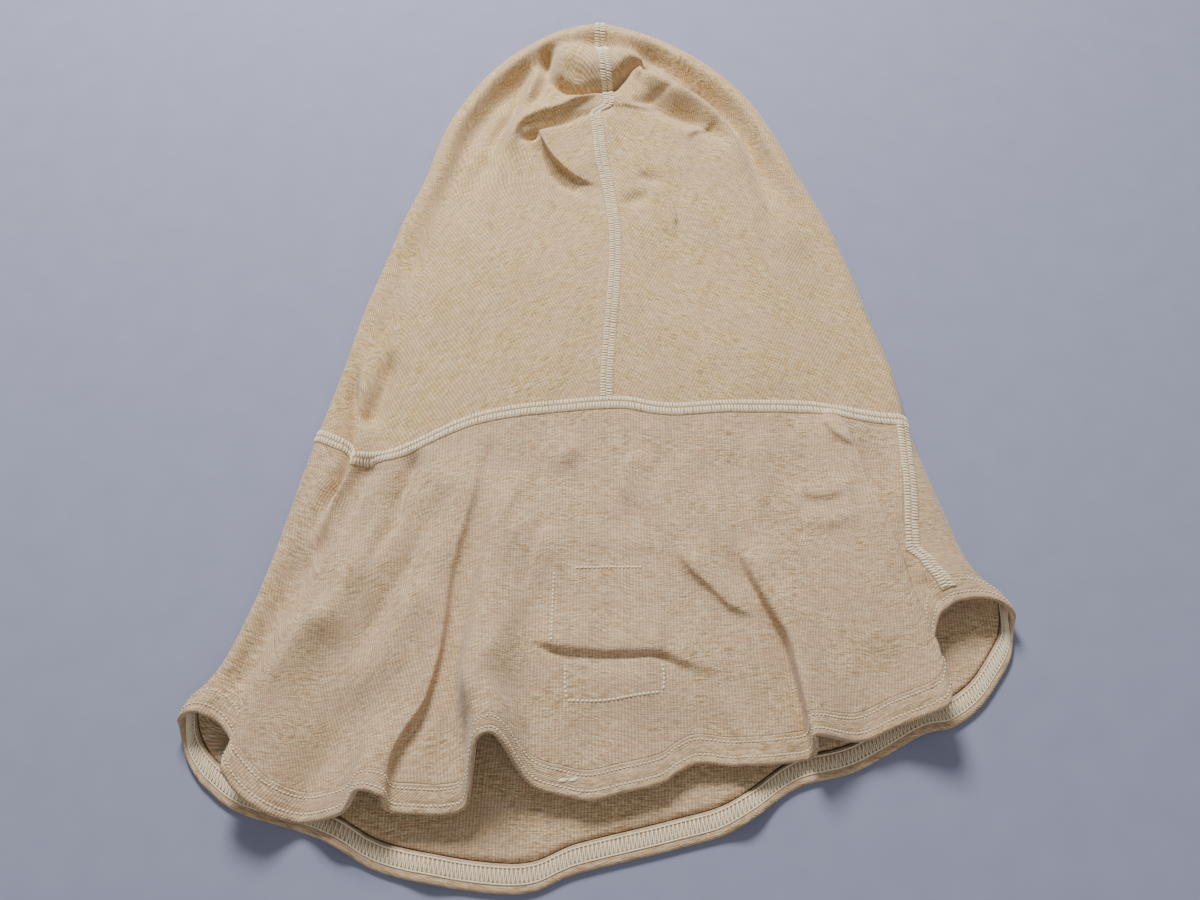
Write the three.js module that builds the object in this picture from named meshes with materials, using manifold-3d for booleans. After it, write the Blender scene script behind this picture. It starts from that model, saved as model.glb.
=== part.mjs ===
// Anti-flash hood, laid down on its front: a knitted head part in two halves, a bib below it and an oval face
// opening on the underside. Millimetres, +Z up. X runs across the hood and Y from the hem to the crown.
// The shell is one surface worked out from the tables below, cut into panels along its seams.
import * as THREE from 'three';
import { mergeVertices } from 'three/addons/utils/BufferGeometryUtils.js';
import Module from 'manifold-3d';

// Driving dimensions.
const CLOTH = 1.5; // knitted cloth
const HEM_THICK = 2.8; // the cloth turned up on itself
const HEM_DEPTH = 12;
const HEM_SETBACK = 1.2; // the turned-up edge ends this far below the top of the hem
const SEAM_GAP = 0.17; // each panel stops this far short of a seam line
const NECK_GAP = 0.33; // the same for the head part, at the neck seam
const HEM_GAP = 0.25; // the same on both sides of the line where the hem begins
const BIB_HEIGHT = 11.5; // of the upper layer's outside, over the middle of the bib
const HEM_HEIGHT = 9.8; // the same at the back hem
const HEAD_HEIGHT = 13;
const CROWN_HEIGHT = 19;
const CROWN_START = 345; // Y where the top begins to rise towards the crown
const CROWN_FULL = 425;
const VALLEY_WIDTH = 9; // of the dip just inside the rolled edge
const SHELL_REACH = 45; // how far in from the rolled edge the full height is reached
const CENTRE = { x: 2.24, y: 236.3 }; // the tables' place for the middle of the laid hood

const FACE = { x: 8, y: 298, halfWidth: 58, halfHeight: 74, bandWidth: 11, bandThick: 2.6, edge: 0.7 };
const FACE_STEPS = 44; // of the oval
const CUT_CLEARANCE = 0.35; // between the panels' cut edge and the face band
const CUT_TOP = 5; // the cut reaches through the under layer and stops in the hollow

// Sections from the crown down to the side hems: the rim's place on the left and right, the radius of its
// rolled edge and the depth of the dip inside it. The neck seam is on the section named neck.
const SECTIONS = [
  { name: 'apex', leftX: 0, leftY: 474, rightX: 0, rightY: 474, roll: 8.5, valley: 1 },
  { name: 'crown1', leftX: -24, leftY: 468.5, rightX: 24, rightY: 467, roll: 8.5, valley: 2 },
  { name: 'crown2', leftX: -47, leftY: 453, rightX: 47, rightY: 454, roll: 8.5, valley: 4 },
  { name: 'crown3', leftX: -64, leftY: 435, rightX: 66, rightY: 438, roll: 8.5, valley: 5 },
  { name: 'crown4', leftX: -78, leftY: 413, rightX: 85, rightY: 415, roll: 8.2, valley: 5 },
  { name: 'temple', leftX: -88, leftY: 390, rightX: 98, rightY: 389, roll: 7.8, valley: 4.5 },
  { name: 'ear', leftX: -96, leftY: 359, rightX: 109, rightY: 361, roll: 7, valley: 3.5 },
  { name: 'jaw', leftX: -106, leftY: 330, rightX: 122, rightY: 329, roll: 6.2, valley: 2 },
  { name: 'cheek', leftX: -113, leftY: 304, rightX: 131, rightY: 299, roll: 5.6, valley: 1 },
  { name: 'chin', leftX: -121.5, leftY: 273, rightX: 138, rightY: 270, roll: 5.2, valley: 0.5 },
  { name: 'throat', leftX: -129, leftY: 236, rightX: 146, rightY: 238, roll: 5, valley: 0.5 },
  { name: 'neck', leftX: -137, leftY: 202, rightX: 149.5, rightY: 209, roll: 5, valley: 0.5 },
  { name: 'bib1', leftX: -143, leftY: 174, rightX: 154, rightY: 188, roll: 5, valley: 0.5 },
  { name: 'bib2', leftX: -150, leftY: 139, rightX: 160, rightY: 165, roll: 5.3, valley: 0.5 },
  { name: 'bib3', leftX: -157, leftY: 112, rightX: 165, rightY: 145, roll: 5.8, valley: 0.5 },
  { name: 'bib4', leftX: -166, leftY: 88, rightX: 171, rightY: 131.5, roll: 6.4, valley: 0.5 },
  { name: 'bib5', leftX: -177.5, leftY: 73, rightX: 182, rightY: 119, roll: 7, valley: 0.5 },
  { name: 'hem', leftX: -181, leftY: 62, rightX: 185.5, rightY: 107, roll: 7.5, valley: 0.5 },
];

// Centre seam on the back of the head, from the crown to the neck seam.
const CENTRE_SEAM = [
  { x: 0, y: 474 }, { x: 3, y: 422 }, { x: -1, y: 392 }, { x: 7, y: 338 }, { x: 8, y: 296 }, { x: 3, y: 219 },
];

// Cut lines across the hood, from the left rim to the right rim.
const NECK_LINE = [
  { x: -137, y: 202 }, { x: -117, y: 188 }, { x: -91, y: 194 }, { x: -56, y: 210 }, { x: 3, y: 219 },
  { x: 30, y: 215 }, { x: 60, y: 216 }, { x: 100, y: 216.5 }, { x: 125, y: 212 }, { x: 149.5, y: 209 },
];
const BACK_HEM_LINE = [
  { x: -181, y: 62 }, { x: -166, y: 62 }, { x: -154, y: 44 }, { x: -125, y: 25 }, { x: -88, y: 28 },
  { x: -60, y: 28 }, { x: -35, y: 39 }, { x: -7, y: 34 }, { x: 33, y: 46 }, { x: 80, y: 48 },
  { x: 112, y: 56 }, { x: 145, y: 78 }, { x: 154, y: 104 }, { x: 163, y: 115 }, { x: 174, y: 117 },
  { x: 185.5, y: 107 },
];
const FRONT_HEM_LINE = [
  { x: -181, y: 62 }, { x: -169, y: 41.5 }, { x: -150, y: 28.5 }, { x: -116, y: 19.5 }, { x: -86, y: 5.5 },
  { x: -35, y: -1.8 }, { x: -9, y: 6 }, { x: 30, y: 15 }, { x: 56, y: 22.5 }, { x: 82, y: 39 },
  { x: 108, y: 46 }, { x: 137, y: 60.5 }, { x: 152, y: 64.5 }, { x: 172, y: 81 }, { x: 185.5, y: 107 },
];

// Folds of the upper layer. Each runs from start to end, its middle bowed towards its far side, and falls
// away over the near and the far width. It rises from startRise to endRise (a negative rise is a crease),
// leans towards its far side and draws the cloth back towards its start. The near side of a fold that runs
// down to the hem is the left, and that of one that runs to the right is the one towards the hem. fadeIn and
// fadeOut are shares of its length, and a fold with no fadeOut runs out over the hem.
const BACK_FOLDS = [
  ['name', 'startX', 'startY', 'endX', 'endY', 'bow', 'near', 'far', 'startRise', 'endRise', 'lean', 'draw',
    'fadeIn', 'fadeOut'],
  ['neck_pleat', -119, 250, -119, 170, 3, 6, 7, -3.5, -3.5, 0, 0, 0.3, 0.25],
  ['rim_valley', -122, 172, -160, 76, -4, 6, 8, -3, -4, 0, 0, 0.2, 0.15],
  ['left_main', -134, 150, -150, 42, 0, 9, 24, 1, 10, -3, 0, 0.3, 0],
  ['left_middle', -84, 140, -103, 33, -2, 9, 14, 2, 9, 0, 10, 0.3, 0],
  ['left_major', -60, 196, -90, 50, 4, 17, 6.5, 5, 6, 2, 0, 0.15, 0.2],
  ['tube', -41, 168, -47, 50, -3, 7, 12, 4, 17, 0, 20, 0.25, 0],
  ['label_fold', -32, 102, 60, 89, 2, 7, 14, 3.5, 3.5, -1, 0, 0.2, 0.2],
  ['bib_slant', 28, 152, 78, 104, -2, 8, 12, 3, 3, 0, 0, 0.25, 0.25],
  ['right_middle', 69, 144, 103, 56, 5, 8, 11, 4, 9, 0, 9, 0.2, 0],
  ['right_pleat', 111, 212, 141, 76, 6, 16, 6.5, 3, 8, 1.5, 0, 0.25, 0],
  ['short_a', -4, 200, -24, 178, 0, 7, 8, 2, 2, 0, 0, 0.3, 0.3],
  ['short_b', -28, 184, -48, 142, 0, 6, 8, 2.5, 2, 0, 0, 0.3, 0.3],
  ['neck_crease', 106, 214, 119, 186, 0, 6, 7, -2, -2, 0, 0, 0.3, 0.3],
  ['head_crease', -94, 315, -109, 206, 4, 9, 9, -3, -4, 0, 0, 0.3, 0.25],
  ['pouch', -22, 437, 34, 440, 4, 8, 8, 4, 4, -1, 0, 0.3, 0.3],
  ['pouch_crease', -30, 426, 46, 422, -4, 7, 7, -6, -6, 0, 0, 0.25, 0.25],
  ['tier', -20, 413, 30, 410, 2, 8, 6, 3, 3, 0, 0, 0.3, 0.3],
  ['right_tier_crease', 14, 414, 56, 396, 2, 7, 7, -3, -4, 0, 0, 0.3, 0.3],
  ['left_welt', -54, 382, -6, 410, 5, 8, 8, 5, 4, 0, 0, 0.25, 0.25],
  ['flap_crease', -38, 384, 0, 342, -6, 8, 8, -4, -3, 0, 0, 0.3, 0.35],
];
// Small lifts of the front hem off the ground.
const FRONT_FOLDS = [
  BACK_FOLDS[0],
  ['left_lift', -104, 40, -108, 14, 0, 9, 9, 1, 5, 0, 0, 0.5, 0],
  ['middle_lift', 52, 56, 62, 30, 0, 11, 11, 1, 4, 0, 0, 0.5, 0],
  ['right_lift', 128, 78, 140, 58, 0, 11, 11, 1, 4, 0, 0, 0.5, 0],
];
const CENTRE_START = 0.125; // share of the way down at which the centre seam is fully off the straight middle
const NECK_BEND_START = 0.55; // share of the head at which its rows begin to bend towards the neck seam
const NECK_BLEND = 0.1; // the head's height passes into the bib's over this share on both sides of the seam
const FOLD_RIM = 13; // folds of the upper layer die away over this distance from the rim
const DRAW_POWER = 2; // the draw grows along a fold as this power of the way along it

// Where the seams lie on the way round the hood. The way round is 0 at the left rim, 1 at the right rim and
// 2 at the left rim again: 0 to 1 is the upper layer, 1 to 2 the under layer.
const LEFT_SEAM = -0.07;
const RIGHT_SEAM = { neck: 0.97, hem: 0.893, ease: 0.6 };
const TOP_CENTRE = 0.5;
const UNDER_CENTRE = 1.5;
const RIM_ZONE = 0.07; // share of the way round in which steps grow from nothing at the rim

// Numbers of steps of the panels.
const HEAD_STEPS = { rows: 23, top: 15, rim: 6, under: 7 };
const BIB_STEPS = { rows: 11, top: 54, rim: 6, rightRim: 8, under: 22 };
const RIM_SAMPLES = 6; // of the outline, for each section
const LINE_SAMPLES = 12; // of a cut line, between two points of its table
const CROWN_CROWDING = 1.05; // power that crowds the head's rows towards the crown

const COLOURS = { head: 0xc4af98, bib: 0xb5a28e, front: 0xa89682, hem: 0xb9a793, band: 0xc9b8a3 };

const NECK_SHARE = SECTIONS.findIndex((row) => row.name === 'neck') / (SECTIONS.length - 1);
const SMALL = 1e-3; // step for slopes of the surface
const MERGE = 1e-3; // corners closer than this are one
const CUT_BOTTOM = -1; // the cut starts below the cloth

const clamp = (value) => Math.min(1, Math.max(0, value));
const mix = (a, b, share) => a + (b - a) * share;
const smooth = (value) => clamp(value) ** 2 * (3 - 2 * clamp(value));

function curveThrough(points) {
  const vectors = points.map(({ x, y }) => new THREE.Vector3(x, y, 0));
  return new THREE.CatmullRomCurve3(vectors, false, 'catmullrom', 0.5);
}

function tableRows([names, ...rows]) {
  return rows.map((row) => Object.fromEntries(names.map((name, index) => [name, row[index]])));
}

// The outline as straight pieces from the left hem over the crown to the right hem.
const rimCurve = curveThrough([
  ...SECTIONS.map((row) => ({ x: row.leftX, y: row.leftY })).reverse(),
  ...SECTIONS.slice(1).map((row) => ({ x: row.rightX, y: row.rightY })),
]);
const RIM_LAST = 2 * (SECTIONS.length - 1) * RIM_SAMPLES;
const rimPoints = Array.from({ length: RIM_LAST + 1 }, (_, index) => rimCurve.getPoint(index / RIM_LAST));

function rimPoint(share) {
  const place = clamp(share) * RIM_LAST;
  const index = Math.min(RIM_LAST - 1, Math.floor(place));
  return rimPoints[index].clone().lerp(rimPoints[index + 1], place - index);
}
const leftRim = (share) => rimPoint(0.5 - share / 2);
const rightRim = (share) => rimPoint(0.5 + share / 2);

function rimDistance(x, y) {
  let best = Infinity;
  for (let index = 0; index < RIM_LAST; index += 1) {
    const start = rimPoints[index];
    const end = rimPoints[index + 1];
    const runX = end.x - start.x;
    const runY = end.y - start.y;
    const along = clamp(((x - start.x) * runX + (y - start.y) * runY) / (runX * runX + runY * runY));
    best = Math.min(best, Math.hypot(x - start.x - runX * along, y - start.y - runY * along));
  }
  return best;
}

// A line given by points with growing X, as Y at an X.
function lineFunction(points) {
  const samples = curveThrough(points).getPoints(LINE_SAMPLES * (points.length - 1));
  return (x) => {
    const next = Math.max(1, samples.findIndex((point) => point.x >= x));
    const before = samples[next - 1];
    const after = samples[next];
    return mix(before.y, after.y, clamp((x - before.x) / (after.x - before.x)));
  };
}
const neckY = lineFunction(NECK_LINE);
const backHemY = lineFunction(BACK_HEM_LINE);
const frontHemY = lineFunction(FRONT_HEM_LINE);
const centreSeamX = lineFunction(CENTRE_SEAM.map(({ x, y }) => ({ x: -y, y: x })));

// A number of the section table at a share of the way down.
function sectionValue(name, share) {
  const place = clamp(share) * (SECTIONS.length - 1);
  const index = Math.min(SECTIONS.length - 2, Math.floor(place));
  return mix(SECTIONS[index][name], SECTIONS[index + 1][name], place - index);
}

// Share of the width at a way across: slow near both rims, where the cloth turns over.
function acrossShare(way) {
  const edge = RIM_ZONE;
  if (way < edge) return way ** 2 / (2 * edge) / (1 - edge);
  if (way > 1 - edge) return 1 - (1 - way) ** 2 / (2 * edge) / (1 - edge);
  return (way - edge / 2) / (1 - edge);
}

// How far the centre seam is off the middle of a row between two rim points.
function centreOffset(left, right) {
  return centreSeamX(-(left.y + right.y) / 2) - (left.x + right.x) / 2;
}

// The place across the hood on the neck seam, which dips and bends on the upper layer.
function neckPoint(across, upper) {
  const left = leftRim(NECK_SHARE);
  const right = rightRim(NECK_SHARE);
  const point = left.clone().lerp(right, across);
  if (upper) {
    point.x += centreOffset(left, right) * (1 - Math.abs(2 * across - 1));
    point.y = neckY(point.x);
  }
  return point;
}

// The place in plan of a point of the upper or the under layer.
function planPoint(across, share, upper) {
  const left = leftRim(share);
  const right = rightRim(share);
  const neck = neckPoint(across, upper);
  const neckLeft = leftRim(NECK_SHARE);
  const neckRight = rightRim(NECK_SHARE);
  if (share <= NECK_SHARE) {
    const straight = left.clone().lerp(right, across);
    if (!upper) return straight;
    const towardsCentre = (1 - Math.abs(2 * across - 1)) * smooth(share / CENTRE_START);
    const towardsNeck = smooth((share / NECK_SHARE - NECK_BEND_START) / (1 - NECK_BEND_START));
    straight.x += centreOffset(left, right) * towardsCentre;
    straight.y += (neck.y - mix(neckLeft.y, neckRight.y, across)) * towardsNeck;
    return straight;
  }
  const down = (share - NECK_SHARE) / (1 - NECK_SHARE);
  const hemLeft = leftRim(1);
  const hemRight = rightRim(1);
  const hem = hemLeft.clone().lerp(hemRight, across);
  hem.y = upper ? backHemY(hem.x) : frontHemY(hem.x);
  const middle = neck.lerp(hem, down);
  middle.addScaledVector(left.sub(neckLeft.lerp(hemLeft, down)), 1 - across);
  middle.addScaledVector(right.sub(neckRight.lerp(hemRight, down)), across);
  return middle;
}

function foldShift(x, y, folds) {
  const shift = new THREE.Vector3();
  for (const fold of folds) {
    const runX = fold.endX - fold.startX;
    const runY = fold.endY - fold.startY;
    const length = Math.hypot(runX, runY);
    const alongX = runX / length;
    const alongY = runY / length;
    const along = ((x - fold.startX) * alongX + (y - fold.startY) * alongY) / length;
    const inside = clamp(along);
    const bow = fold.bow * 4 * inside * (1 - inside);
    const side = (y - fold.startY) * alongX - (x - fold.startX) * alongY - bow;
    const fade = smooth(along / fold.fadeIn) * (fold.fadeOut > 0 ? smooth((1 - along) / fold.fadeOut) : 1);
    const height = Math.exp(-((side / (side < 0 ? fold.near : fold.far)) ** 2)) * fade;
    const draw = fold.draw * inside ** DRAW_POWER;
    shift.x += height * (-alongY * fold.lean - alongX * draw);
    shift.y += height * (alongX * fold.lean - alongY * draw);
    shift.z += height * mix(fold.startRise, fold.endRise, inside);
  }
  return shift;
}
const backFolds = tableRows(BACK_FOLDS);
const frontFolds = tableRows(FRONT_FOLDS);

// Height over the middle of the upper layer.
function bodyHeight(y, share) {
  const bib = mix(BIB_HEIGHT, HEM_HEIGHT, smooth((share - NECK_SHARE) / (1 - NECK_SHARE)));
  const head = mix(HEAD_HEIGHT, CROWN_HEIGHT, smooth((y - CROWN_START) / (CROWN_FULL - CROWN_START)));
  const below = (share / NECK_SHARE - 1 + NECK_BLEND) / (2 * NECK_BLEND);
  return mix(head, bib, smooth(below));
}

// The outer surface of the hood: way runs round it and share from the crown to the hem.
function surfacePoint(way, share) {
  const turn = ((way % 2) + 2) % 2;
  const upper = turn <= 1;
  const point = planPoint(acrossShare(upper ? turn : 2 - turn), share, upper);
  const distance = rimDistance(point.x, point.y);
  const roll = sectionValue('roll', share);
  const rise = distance < roll ? Math.sqrt(roll ** 2 - (roll - distance) ** 2) : roll;
  const freedom = smooth(distance / FOLD_RIM);
  if (!upper) {
    point.z = roll - rise;
    return point.addScaledVector(foldShift(point.x, point.y, frontFolds), freedom);
  }
  const inward = Math.max(0, distance - roll);
  const hollow = (inward / VALLEY_WIDTH) ** 2 * Math.exp(1 - (inward / VALLEY_WIDTH) ** 2);
  const top = mix(2 * roll, bodyHeight(point.y, share), smooth(inward / SHELL_REACH));
  point.z = roll + rise + (top - 2 * roll) - sectionValue('valley', share) * hollow;
  return point.addScaledVector(foldShift(point.x, point.y, backFolds), freedom);
}

function surfaceNormal(way, share) {
  if (share <= 0) return new THREE.Vector3(0, 1, 0);
  const above = Math.max(SMALL, share - SMALL);
  const down = surfacePoint(way, share + SMALL).sub(surfacePoint(way, above));
  const round = surfacePoint(way + SMALL, share).sub(surfacePoint(way - SMALL, share));
  return down.cross(round).normalize();
}

// The change of share that moves a point by a length down the surface, and the same for the way round.
function shareFor(way, share, length) {
  return length / surfacePoint(way, share + SMALL).distanceTo(surfacePoint(way, share)) * SMALL;
}
function wayFor(way, share, length) {
  return length / surfacePoint(way + SMALL, share).distanceTo(surfacePoint(way, share)) * SMALL;
}

// A point at a depth into the cloth. The shifts move it off a seam along the surface, with the seam's own
// direction of depth, so that the walls on both sides of a seam stay parallel.
function layerPoint(way, share, depth, wayShift = 0, shareShift = 0) {
  return surfacePoint(way + wayShift, share + shareShift).addScaledVector(surfaceNormal(way, share), -depth);
}

function geometryFrom(triangles) {
  const positions = triangles.flat().flatMap((point) => [point.x, point.y, point.z]);
  const loose = new THREE.BufferGeometry();
  loose.setAttribute('position', new THREE.Float32BufferAttribute(positions, 3));
  const merged = mergeVertices(loose, MERGE);
  const index = [];
  for (let corner = 0; corner < merged.index.count; corner += 3) {
    const [a, b, c] = [0, 1, 2].map((step) => merged.index.getX(corner + step));
    if (a !== b && b !== c && c !== a) index.push(a, b, c);
  }
  merged.setIndex(index);
  return merged;
}

function quadTriangles(a, b, c, d) {
  return [[a, b, c], [a, c, d]];
}

// A panel of cloth: an outer and an inner grid with walls round their edge.
function panelGeometry(outer, inner) {
  const triangles = [];
  const lastRow = outer.length - 1;
  const lastColumn = outer[0].length - 1;
  for (let row = 0; row < lastRow; row += 1) {
    for (let column = 0; column < lastColumn; column += 1) {
      const corners = [[row, column], [row + 1, column], [row + 1, column + 1], [row, column + 1]];
      triangles.push(...quadTriangles(...corners.map(([r, c]) => outer[r][c])));
      triangles.push(...quadTriangles(...corners.reverse().map(([r, c]) => inner[r][c])));
    }
  }
  const edge = [];
  for (let row = 0; row < lastRow; row += 1) edge.push([row, 0]);
  for (let column = 0; column < lastColumn; column += 1) edge.push([lastRow, column]);
  for (let row = lastRow; row > 0; row -= 1) edge.push([row, lastColumn]);
  for (let column = lastColumn; column > 0; column -= 1) edge.push([0, column]);
  edge.forEach(([row, column], index) => {
    const [nextRow, nextColumn] = edge[(index + 1) % edge.length];
    const wall = [
      outer[nextRow][nextColumn], outer[row][column], inner[row][column], inner[nextRow][nextColumn],
    ];
    // Walls that face each other across a seam are split along the same diagonal.
    if (nextRow < row || nextColumn < column) wall.push(wall.shift());
    triangles.push(...quadTriangles(...wall));
  });
  return geometryFrom(triangles);
}

// A closed ring: each column is a closed section, its points in order round the piece's own thickness.
function ringGeometry(sections) {
  const triangles = [];
  sections.forEach((section, column) => {
    const next = sections[(column + 1) % sections.length];
    section.forEach((point, index) => {
      const after = (index + 1) % section.length;
      triangles.push(...quadTriangles(point, section[after], next[after], next[index]));
    });
  });
  return geometryFrom(triangles);
}

function steps(start, end, count) {
  return Array.from({ length: count + 1 }, (_, index) => mix(start, end, index / count));
}
function joined(...lists) {
  return lists.reduce((whole, list) => [...whole, ...list.slice(1)]);
}

// Half of the head part. Its ways start on one centre seam and end on the other.
function headPanel(startWay, endWay, side) {
  const rimWay = side < 0 ? 0 : 1;
  const underFirst = side < 0;
  const before = [startWay, rimWay - RIM_ZONE, underFirst ? HEAD_STEPS.under : HEAD_STEPS.top];
  const after = [rimWay + RIM_ZONE, endWay, underFirst ? HEAD_STEPS.top : HEAD_STEPS.under];
  const overRim = [rimWay - RIM_ZONE, rimWay + RIM_ZONE, HEAD_STEPS.rim];
  const ways = joined(steps(...before), steps(...overRim), steps(...after));
  const shares = steps(0, 1, HEAD_STEPS.rows).map((step) => step ** CROWN_CROWDING * NECK_SHARE);
  const layer = (depth) => shares.map((share, row) => ways.map((way, column) => {
    if (row === 0) return layerPoint(way, 0, depth).add(new THREE.Vector3(side * SEAM_GAP, 0, 0));
    const atStart = column === 0 ? wayFor(way, share, SEAM_GAP) : 0;
    const atEnd = column === ways.length - 1 ? wayFor(way, share, SEAM_GAP) : 0;
    const atNeck = row === shares.length - 1 ? shareFor(way, share - 2 * SMALL, NECK_GAP) : 0;
    return layerPoint(way, share, depth, atStart - atEnd, -atNeck);
  }));
  return panelGeometry(layer(0), layer(CLOTH));
}

// The way round of the right side seam, where down is 0 at the neck seam and 1 at the hem.
function rightSeamWay(down) {
  return mix(RIGHT_SEAM.neck, RIGHT_SEAM.hem, down ** RIGHT_SEAM.ease);
}

// The ways round of a bib panel's columns.
function backWays(down) {
  return joined(steps(LEFT_SEAM, RIM_ZONE, BIB_STEPS.rim), steps(RIM_ZONE, rightSeamWay(down), BIB_STEPS.top));
}
function frontWays(down) {
  return joined(
    steps(rightSeamWay(down), 1 + RIM_ZONE, BIB_STEPS.rightRim),
    steps(1 + RIM_ZONE, 2 + LEFT_SEAM, BIB_STEPS.under),
  );
}

// The share at which the hem's stitched band begins, for a way round.
function hemStart(way) {
  return 1 - shareFor(way, 1 - 10 * SMALL, HEM_DEPTH);
}

function bibPanel(waysAt) {
  const downs = steps(0, 1, BIB_STEPS.rows);
  const layer = (depth) => downs.map((down, row) => waysAt(down).map((way, column, { length }) => {
    const share = mix(NECK_SHARE, hemStart(waysAt(1)[column]), down);
    const atNeck = row === 0 ? shareFor(way, share, SEAM_GAP) : 0;
    const atHem = row === downs.length - 1 ? shareFor(way, share, HEM_GAP) : 0;
    const atStart = column === 0 ? wayFor(way, share, SEAM_GAP) : 0;
    const atEnd = column === length - 1 ? wayFor(way, share, SEAM_GAP) : 0;
    return layerPoint(way, share, depth, atStart - atEnd, atNeck - atHem);
  }));
  return panelGeometry(layer(0), layer(CLOTH));
}

// The turned hem, one ring round the open edge of the bib, rounded where the cloth turns.
function hemRing() {
  const ways = joined(backWays(1), frontWays(1)).slice(0, -1);
  return ringGeometry(ways.map((way) => {
    const start = hemStart(way);
    const gap = shareFor(way, start, HEM_GAP);
    const setback = shareFor(way, start, HEM_SETBACK);
    const turn = 1 - shareFor(way, 1 - 2 * SMALL, HEM_THICK / 3);
    const middle = mix(start, turn, 0.5);
    return [
      layerPoint(way, start, 0, 0, gap), layerPoint(way, middle, 0), layerPoint(way, turn, 0),
      layerPoint(way, 1, HEM_THICK / 2), layerPoint(way, turn, HEM_THICK), layerPoint(way, middle, HEM_THICK),
      layerPoint(way, start, HEM_THICK, 0, setback), layerPoint(way, start, CLOTH, 0, gap),
    ];
  }));
}

function ellipsePoint(angle, grow, z) {
  return new THREE.Vector3(
    FACE.x + (FACE.halfWidth + grow) * Math.cos(angle),
    FACE.y + (FACE.halfHeight + grow) * Math.sin(angle),
    z,
  );
}

// The binding round the face opening: a flat ring with chamfered edges.
function faceBand() {
  const angles = steps(0, 2 * Math.PI, FACE_STEPS).slice(0, -1);
  const outline = [
    [FACE.edge, 0], [FACE.bandWidth - FACE.edge, 0], [FACE.bandWidth, FACE.edge],
    [FACE.bandWidth, FACE.bandThick - FACE.edge], [FACE.bandWidth - FACE.edge, FACE.bandThick],
    [FACE.edge, FACE.bandThick], [0, FACE.bandThick - FACE.edge], [0, FACE.edge],
  ];
  const section = (angle) => outline.map(([grow, z]) => ellipsePoint(angle, grow, z)).reverse();
  return ringGeometry(angles.map(section));
}

// What is cut out of the under layer to let the face band in.
function faceCut() {
  const angles = steps(0, 2 * Math.PI, FACE_STEPS).slice(0, -1);
  const grow = FACE.bandWidth + CUT_CLEARANCE;
  const rim = (z) => angles.map((angle) => ellipsePoint(angle, grow, z));
  const [low, high] = [rim(CUT_BOTTOM), rim(CUT_TOP)];
  const triangles = [];
  angles.forEach((_, index) => {
    const next = (index + 1) % angles.length;
    triangles.push(...quadTriangles(low[index], low[next], high[next], high[index]));
    if (index > 0 && index < angles.length - 1) {
      triangles.push([low[0], low[index + 1], low[index]], [high[0], high[index], high[index + 1]]);
    }
  });
  return geometryFrom(triangles);
}

const wasm = await Module();
wasm.setup();

function toSolid(geometry) {
  return new wasm.Manifold(new wasm.Mesh({
    numProp: 3,
    vertProperties: new Float32Array(geometry.attributes.position.array),
    triVerts: new Uint32Array(geometry.index.array),
  }));
}

function subtract(geometry, tool) {
  const mesh = toSolid(geometry).subtract(toSolid(tool)).getMesh();
  const result = new THREE.BufferGeometry();
  result.setAttribute('position', new THREE.Float32BufferAttribute(mesh.vertProperties, 3));
  result.setIndex(Array.from(mesh.triVerts));
  return result;
}

const hood = new THREE.Group();
hood.position.set(-CENTRE.x, -CENTRE.y, 0);

function addPiece(name, geometry, color) {
  geometry.computeVertexNormals();
  const knit = new THREE.MeshStandardMaterial({ color, roughness: 0.95, metalness: 0 });
  const piece = new THREE.Mesh(geometry, knit);
  piece.name = name;
  hood.add(piece);
}

const cut = faceCut();
addPiece('hood_left_panel', subtract(headPanel(UNDER_CENTRE - 2, TOP_CENTRE, -1), cut), COLOURS.head);
addPiece('hood_right_panel', subtract(headPanel(TOP_CENTRE, UNDER_CENTRE, 1), cut), COLOURS.head);
addPiece('bib_back_panel', bibPanel(backWays), COLOURS.bib);
addPiece('bib_front_panel', bibPanel(frontWays), COLOURS.front);
addPiece('bib_hem', hemRing(), COLOURS.hem);
addPiece('face_opening_band', faceBand(), COLOURS.band);

export default hood;
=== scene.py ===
"""Anti-flash hood, laid flat on its front: cloth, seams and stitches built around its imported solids.

Lengths in the tables are millimetres on the plan of the laid hood: X runs across it and Y from the bottom of
the hem towards the crown. The meshes are metres about the middle of the laid hood, which rests on Z = 0.
"""
import math

import bpy
import numpy as np
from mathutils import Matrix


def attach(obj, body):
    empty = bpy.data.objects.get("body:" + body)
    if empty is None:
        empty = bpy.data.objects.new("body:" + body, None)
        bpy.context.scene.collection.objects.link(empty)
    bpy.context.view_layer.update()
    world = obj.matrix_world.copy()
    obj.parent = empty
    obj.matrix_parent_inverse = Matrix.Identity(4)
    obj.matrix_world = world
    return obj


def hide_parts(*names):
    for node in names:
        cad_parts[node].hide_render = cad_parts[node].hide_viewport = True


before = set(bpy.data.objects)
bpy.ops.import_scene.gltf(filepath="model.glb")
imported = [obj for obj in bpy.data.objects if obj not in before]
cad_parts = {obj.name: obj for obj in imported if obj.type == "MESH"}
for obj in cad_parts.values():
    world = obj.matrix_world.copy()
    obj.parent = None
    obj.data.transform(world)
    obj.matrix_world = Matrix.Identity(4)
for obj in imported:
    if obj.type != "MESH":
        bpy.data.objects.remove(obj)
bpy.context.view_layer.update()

bl_info = {
    "name": "Anti-Flash Hood",
    "version": (1, 0, 0),
    "blender": (4, 5, 0),
    "location": "3D View > Sidebar > Hood",
    "description": "Builds a laid knitted hood with its flat seams and stitched hem",
    "category": "Add Mesh",
}

MM = 0.001
CENTRE = np.array([2.24, 236.3, 0.0])  # the middle of the laid hood in the tables' millimetres

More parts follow.
